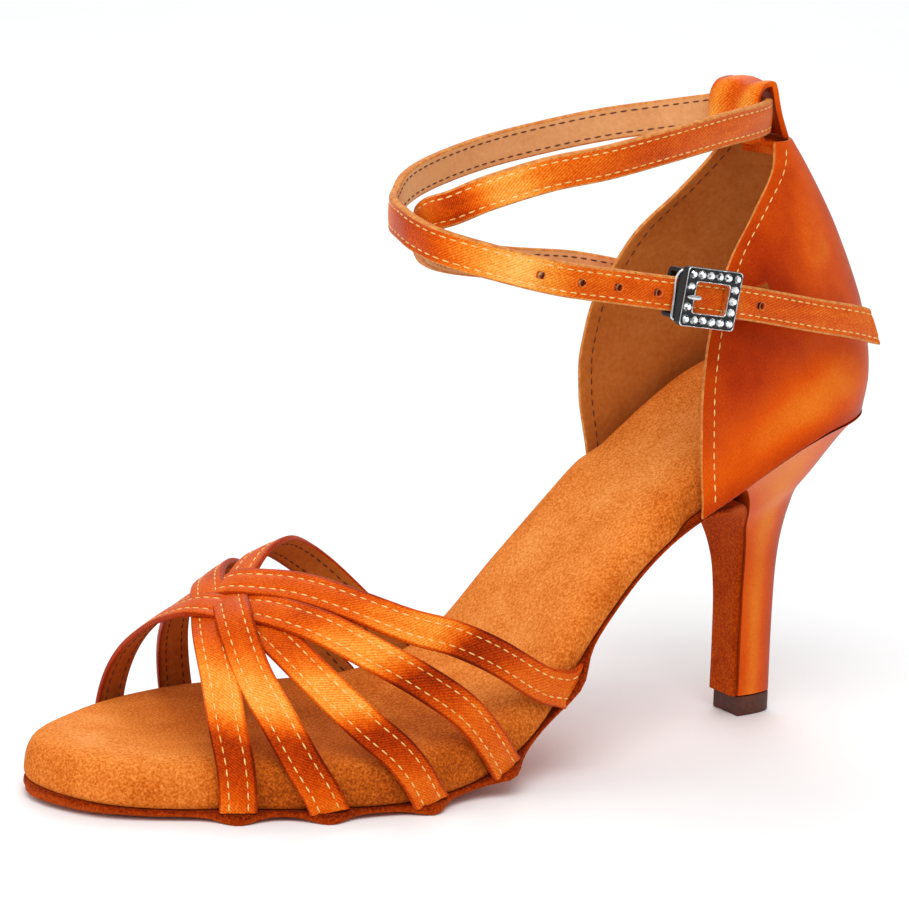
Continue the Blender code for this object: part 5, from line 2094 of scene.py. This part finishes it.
@dataclass
class Buckle:
    """Square buckle with a black face, chrome rims, cut stones, a pin and its short holder strap."""

    strap: AnkleStrap
    length: float = 0.0162
    height: float = 0.0134
    bar: float = 0.0032
    thickness: float = 0.0018
    rim: float = 0.00026
    recess: float = 0.0003
    corner: float = 0.0009
    window_corner: float = 0.0008
    keeper_length: float = 0.0030
    keeper_wall: float = 0.0012
    keeper_back: float = 0.0014
    wall_width: float = 0.0021
    wall_thickness: float = 0.0005
    wall_tilt: float = math.radians(58.0)
    stone: float = 0.0021
    stone_height: float = 0.0009
    pin: float = 0.0011
    holder_width: float = 0.0058
    holder_thickness: float = 0.0011
    holder_landing: tuple[float, ...] = (0.965, 0.93, 0.90, 0.87)
    holder_height: float = 0.555
    holder_corner: float = 0.0004
    holder_steps: int = 5
    # Painted shade on the holder strap, which lies under the buckle
    holder_shade: float = 0.22
    keeper_clear: float = 0.0002
    keeper_ease: float = 0.0010
    keeper_corner: float = 0.0003
    wall_short: float = 0.0008
    wall_level: float = 0.0007
    wall_corner: float = 0.00012
    wall_steps: int = 8
    wire_radius: float = 0.00028
    # Wire beside the face: out from its toe side, up or down, in from that edge, level
    wire: Table = (
        (0.0008, 1.0, 0.0010, 0.0009),
        (0.0013, 1.0, 0.0020, 0.0006),
        (0.0015, 0.0, 0.0, 0.0004),
        (0.0018, -1.0, 0.0035, 0.0003),
        (0.0014, -1.0, 0.0018, 0.0006),
        (0.0008, -1.0, 0.0010, 0.0009),
    )
    pin_tip: tuple[float, ...] = (0.35, 0.75, 0.95)
    pin_tail: float = 0.0030
    stone_facets: int = 9
    stone_seed: int = 5
    # Painted reflection of a facet: how bright it is, from the darkest part of the room to the lamp
    glints: tuple[float, ...] = (0.05, 0.12, 0.45, 0.80, 1.0)

    def __post_init__(self) -> None:
        """Find the buckle's place."""
        self.matrix = self.strap.matrix(self.strap.buckle_forward)

    @property
    def hole_x(self) -> float:
        """Distance of the pin's hole from the buckle's middle."""
        return self.length / 2.0 - self.bar - 0.9 * self.pin

    @property
    def keeper_depth(self) -> float:
        """Depth of the keeper's slot behind the strap's outer face."""
        return self.strap.thickness + self.pin + self.holder_thickness + 5 * FIT

    def dress(self) -> None:
        """Build every part of the buckle."""
        self.dress_frame()
        self.dress_stones()
        self.dress_pin()
        self.dress_keeper()
        self.dress_holder()

    def dress_frame(self) -> None:
        """Face with a chrome rim outside and inside and a sunk black floor."""
        low = FIT
        high = FIT + self.thickness
        rim = self.rim
        profile = [
            (0.0, low, 0),
            (0.0, high - 0.3 * rim, 0),
            (0.15 * rim, high, 0),
            (0.5 * rim, high + 0.3 * rim, 0),
            (0.85 * rim, high, 0),
            (rim, high - self.recess, 1),
            (self.bar / 2.0, high - self.recess, 1),
            (self.bar - rim, high - self.recess, 0),
            (self.bar - 0.85 * rim, high, 0),
            (self.bar - 0.5 * rim, high + 0.3 * rim, 0),
            (self.bar - 0.15 * rim, high, 0),
            (self.bar, high - 0.3 * rim, 1),
            (self.bar, low + 0.5 * rim, 0),
            (self.bar - 0.5 * rim, low, 0),
            (0.0, low, 0),
        ]
        window = rounded_loop(
            self.length - 2 * self.bar, self.height - 2 * self.bar, self.window_corner, 6, 8
        )
        outer = rounded_loop(self.length, self.height, self.corner, 6, 8)

        def place(row: int, spot: int) -> Vector:
            """Point of the frame."""
            across, level, _ = profile[spot]
            flat = window[row].lerp(outer[row], across / self.bar)
            flat.z = level
            return self.matrix @ flat

        cloth = Cloth((0.06, 0.01), lambda row, spot: profile[spot][2])
        piece = shaped_grid(
            "buckle_face",
            len(outer) - 1,
            len(profile) - 1,
            place,
            cloth,
            [Finish.CHROME, Finish.ENAMEL],
            sharp=METAL_CREASE,
        )
        hand_over(piece, "buckle_chrome", "buckle_frame")

    def stone_places(self) -> list[tuple[float, float]]:
        """Middles of the stones round the face."""
        across = self.length / 2.0 - self.bar / 2.0
        up = self.height / 2.0 - self.bar / 2.0
        places = []
        for i in range(6):
            x = -across + 2.0 * across * i / 5.0
            places.extend([(x, up), (x, -up)])
        places.extend((-across, -up + 2.0 * up * i / 4.0) for i in range(1, 4))
        places.extend((across, -up + 2.0 * up * share) for share in (0.27, 0.73))
        return places

    def dress_stones(self) -> None:
        """Round cut stones, each with a ring of facets round a flat table."""
        bm = bmesh.new()
        tint = bm.verts.layers.float.new("tint")
        floor = FIT + self.thickness - self.recess
        draw = random.Random(self.stone_seed)
        radius = self.stone / 2.0
        tiers = ((1.0, 0.86, 0.0, 0.50), (0.86, 0.56, 0.50, 1.0))
        for x, y in self.stone_places():
            for wide, narrow, low, high in tiers:
                depth = self.stone_height * (high - low)
                middle = floor + self.stone_height * (high + low) / 2.0
                before = set(bm.verts)
                bmesh.ops.create_cone(
                    bm,
                    cap_ends=True,
                    segments=self.stone_facets,
                    radius1=radius * wide,
                    radius2=radius * narrow,
                    depth=depth,
                    matrix=self.matrix
                    @ Matrix.Translation((x, y, middle))
                    @ Matrix.Rotation(draw.uniform(0.0, math.tau), 4, "Z"),
                )
                for vert in set(bm.verts) - before:
                    vert[tint] = 0.0
        bmesh.ops.split_edges(bm, edges=bm.edges)
        # Painted reflections: each table full white, every other facet a brightness drawn from the glints
        for face in bm.faces:
            value = 1.0 if len(face.verts) > 4 else draw.choice(self.glints)
            for vert in face.verts:
                vert[tint] = value
        piece = finished("buckle_stones", bm, [Finish.STONE], sharp=GLASS_CREASE)
        hand_over(piece, "crystal", *[f"crystal_{number:02d}" for number in range(1, 18)])

    def dress_pin(self) -> None:
        """Bent pin with a round tip over the toe-side bar."""
        radius = self.pin / 2.0
        hole = self.hole_x
        foot = -self.strap.thickness - FIT - radius
        over = 2 * FIT + self.thickness + radius
        end = self.length / 2.0 - 0.1 * self.bar
        bend = 0.4 * self.pin
        route = (
            (hole - self.pin_tail, foot),
            (hole - 2 * bend, foot),
            (hole - 0.6 * bend, foot + 0.6 * bend),
            (hole, foot + 2 * bend),
            (hole, over - 2 * bend),
            (hole + 0.6 * bend, over - 0.6 * bend),
            (hole + 2 * bend, over),
            (end, over),
        )
        line = [self.matrix @ Vector((x, 0.0, z)) for x, z in resample(route, 5)]
        radii = [radius] * len(line)
        for i, share in enumerate(self.pin_tip):
            radii[-1 - i] = radius * share
            radii[i] = radius * share
        hand_over(lay_tube("buckle_pin", line, radii, Finish.CHROME), "buckle_chrome", "buckle_prong")

    def dress_keeper(self) -> None:
        """Black bracket that carries the face round the strap, with its side wall and chrome wire."""
        near = self.length / 2.0 - self.keeper_length / 2.0 - self.keeper_back
        half = self.strap.width / 2.0 + 2 * FIT + self.keeper_wall / 2.0
        deep = -self.keeper_depth - self.keeper_wall / 2.0
        low = FIT + self.keeper_clear
        ease = self.keeper_ease
        run = [(half, low), (half, deep + ease), (half - 0.3 * ease, deep + 0.3 * ease), (half - ease, deep)]
        run += [(0.0, deep)]
        run += [(-a, b) for a, b in reversed(run[:-1])]
        points = [self.matrix @ Vector((near, y, z)) for y, z in resample(run, 4)]
        outs = [self.matrix.to_3x3() @ Vector((1.0, 0.0, 0.0)) for _ in points]
        course = Course(points, outs)
        flat = {"crown": 0.0, "furrow": 0.0, "columns": 6}
        band = Band(self.keeper_wall, self.keeper_length, self.keeper_corner, **flat)
        shifted = Course([p - out * self.keeper_length / 2.0 for p, out in zip(points, course.outs)], outs)
        black = [Finish.ENAMEL] * 3
        piece = lay_strap("buckle_keeper", shifted, band, lambda arc, across: PLAIN_TINT, black, 0.0)
        hand_over(piece, "buckle_chrome", "buckle_frame")
        side = self.length / 2.0
        reach = self.height / 2.0 - self.wall_short
        top, foot = (self.matrix @ Vector((side, up * reach, self.wall_level)) for up in (1.0, -1.0))
        slope = Vector((math.sin(self.wall_tilt), 0.0, math.cos(self.wall_tilt)))
        slope = self.matrix.to_3x3() @ slope
        steps = self.wall_steps
        side_wall = Course([top.lerp(foot, i / steps) for i in range(steps + 1)], [slope] * (steps + 1))
        plate = Band(self.wall_width, self.wall_thickness, self.wall_corner, **flat)
        piece = lay_strap("buckle_side_wall", side_wall, plate, lambda arc, across: PLAIN_TINT, black, 0.0)
        hand_over(piece, "buckle_chrome")
        wire = [
            (side + out, up * (self.height / 2.0 - inset), level) for out, up, inset, level in self.wire
        ]
        line = [self.matrix @ Vector(row) for row in resample(wire, 6)]
        piece = lay_tube("buckle_side_wire", line, [self.wire_radius] * len(line), Finish.CHROME, 10)
        hand_over(piece, "buckle_chrome")

    def dress_holder(self) -> None:
        """Short strap from the outer quarter, folded round the keeper's bar."""
        upper = -self.strap.thickness - self.pin - 3 * FIT - self.holder_thickness / 2.0
        lower = -self.keeper_depth - self.keeper_wall - FIT - self.holder_thickness / 2.0
        end = self.length / 2.0 + FIT
        fold = (upper - lower) / 2.0
        local = [(end - self.keeper_length - 0.0020, lower), (end - self.keeper_length, lower)]
        for i in range(7):
            angle = math.pi * (i / 6.0 - 0.5)
            local.append((end + fold * math.cos(angle), (upper + lower) / 2.0 + fold * math.sin(angle)))
        local.extend([(end - self.keeper_length, upper), (end - 2.0 * self.keeper_length, upper)])
        points = [self.matrix @ Vector((x, 0.0, z)) for x, z in local]
        ups = [self.matrix.to_3x3().col[1].normalized()] * len(points)
        for turn in self.holder_landing:
            place, out, wall_up = self.strap.counter.frame_at(turn, self.holder_height)
            points.append(place + out * (2 * FIT + self.holder_thickness / 2.0))
            ups.append(wall_up)
        rows = resample([(*point, *up) for point, up in zip(points, ups)], self.holder_steps)
        line = [Vector(row[:3]) for row in rows]
        outs = [Vector(row[3:]).cross(heading(line, i)).normalized() for i, row in enumerate(rows)]
        inner = [point - out * (self.holder_thickness / 2.0) for point, out in zip(line, outs)]
        band = Band(self.holder_width, self.holder_thickness, self.holder_corner)
        finishes = [Finish.SATIN, Finish.SATIN, Finish.LINING]
        course = Course(inner, outs)
        tint = self.holder_shade
        piece = lay_strap("buckle_holder_strap", course, band, lambda arc, across: tint, finishes, 0.0)
        hand_over(piece, "satin", "buckle_holder")


@dataclass(frozen=True)
class Softbox:
    """Square soft lamp: where it hangs, what it looks at, the side of its face and its watts."""

    name: str
    place: tuple[float, float, float]
    target: tuple[float, float, float]
    size: float
    power: float
    spread: float = 150.0

    def hang(self) -> None:
        """Hang the lamp."""
        lamp = bpy.data.lights.new(self.name, "AREA")
        lamp.size = self.size
        lamp.energy = self.power
        lamp.spread = math.radians(self.spread)
        box = bpy.data.objects.new(self.name, lamp)
        box.location = self.place
        aim = Vector(self.target) - Vector(self.place)
        box.rotation_euler = aim.to_track_quat("-Z", "Y").to_euler()
        bpy.context.scene.collection.objects.link(box)


@dataclass(frozen=True)
class Studio:
    """Pale floor, soft lights and the camera of the photograph."""

    distance: float = 1.0891
    aim: tuple[float, float, float] = (0.1142, -0.0001, 0.0700)
    azimuth: float = 32.7
    elevation: float = 12.9
    roll: float = 2.08
    lens: float = 190.89
    sensor: float = 36.0
    nearest: float = 0.05
    farthest: float = 30.0
    surround: float = 0.49
    floor_half: float = 6.0
    softboxes: tuple[Softbox, ...] = (
        Softbox("key_softbox", (0.50, 0.75, 1.25), OVER_SHOE, 1.1, 9.4),
        Softbox("toe_softbox", (1.25, 0.10, 0.70), OVER_SHOE, 0.9, 2.6),
        Softbox("back_softbox", (-0.40, -0.70, 1.20), OVER_SHOE, 0.8, 2.8),
        Softbox("far_floor_softbox", (-1.15, -1.70, 1.60), (-1.15, -1.70, 0.0), 1.5, 11.0),
    )

    def set_up(self) -> None:
        """Place the floor, the lights and the camera."""
        self.lay_floor()
        for softbox in self.softboxes:
            softbox.hang()
        bpy.context.scene.view_settings.view_transform = "Standard"
        world = bpy.data.worlds.new("studio_surround")
        bpy.context.scene.world = world
        world.use_nodes = True
        sky = world.node_tree.nodes["Background"].inputs
        sky["Color"].default_value = linear("#FFFFFF")
        sky["Strength"].default_value = self.surround
        self.point_camera()

    def lay_floor(self) -> None:
        """Wide pale floor under the shoe."""
        bm = bmesh.new()
        bmesh.ops.create_grid(bm, x_segments=2, y_segments=2, size=self.floor_half)
        floor = finished("studio_floor", bm, [Finish.FLOOR])

    def point_camera(self) -> None:
        """Camera at the photograph's angle."""
        phi = math.radians(self.azimuth)
        rise = math.radians(self.elevation)
        roll = math.radians(self.roll)
        back = Vector((math.sin(phi) * math.cos(rise), math.cos(phi) * math.cos(rise), math.sin(rise)))
        right = Vector((-math.cos(phi), math.sin(phi), 0.0))
        up = back.cross(right)
        turned_right = right * math.cos(roll) + up * math.sin(roll)
        turned_up = up * math.cos(roll) - right * math.sin(roll)
        data = bpy.data.cameras.new("photo_camera")
        data.lens = self.lens
        data.sensor_width = self.sensor
        data.clip_start = self.nearest
        data.clip_end = self.farthest
        camera = bpy.data.objects.new("photo_camera", data)
        matrix = Matrix((turned_right, turned_up, back)).transposed().to_4x4()
        matrix.translation = Vector(self.aim) + back * self.distance + DATUM
        camera.matrix_world = matrix
        bpy.context.scene.collection.objects.link(camera)
        bpy.context.scene.camera = camera


def main() -> None:
    """Dress the shoe piece by piece, then set up the studio."""
    logging.basicConfig(level=logging.INFO)
    sole = Sole()
    sole.dress_outsole()
    sole.dress_insole()
    sole.dress_heel()
    sole.dress_tap()
    counter = Counter(sole)
    counter.dress()
    ToeStraps(sole).dress()
    strap = AnkleStrap(counter)
    buckle = Buckle(strap)
    strap.dress(buckle.hole_x)
    BackLoop(counter).dress()
    buckle.dress()
    Studio().set_up()


if __name__ == "__main__":
    main()
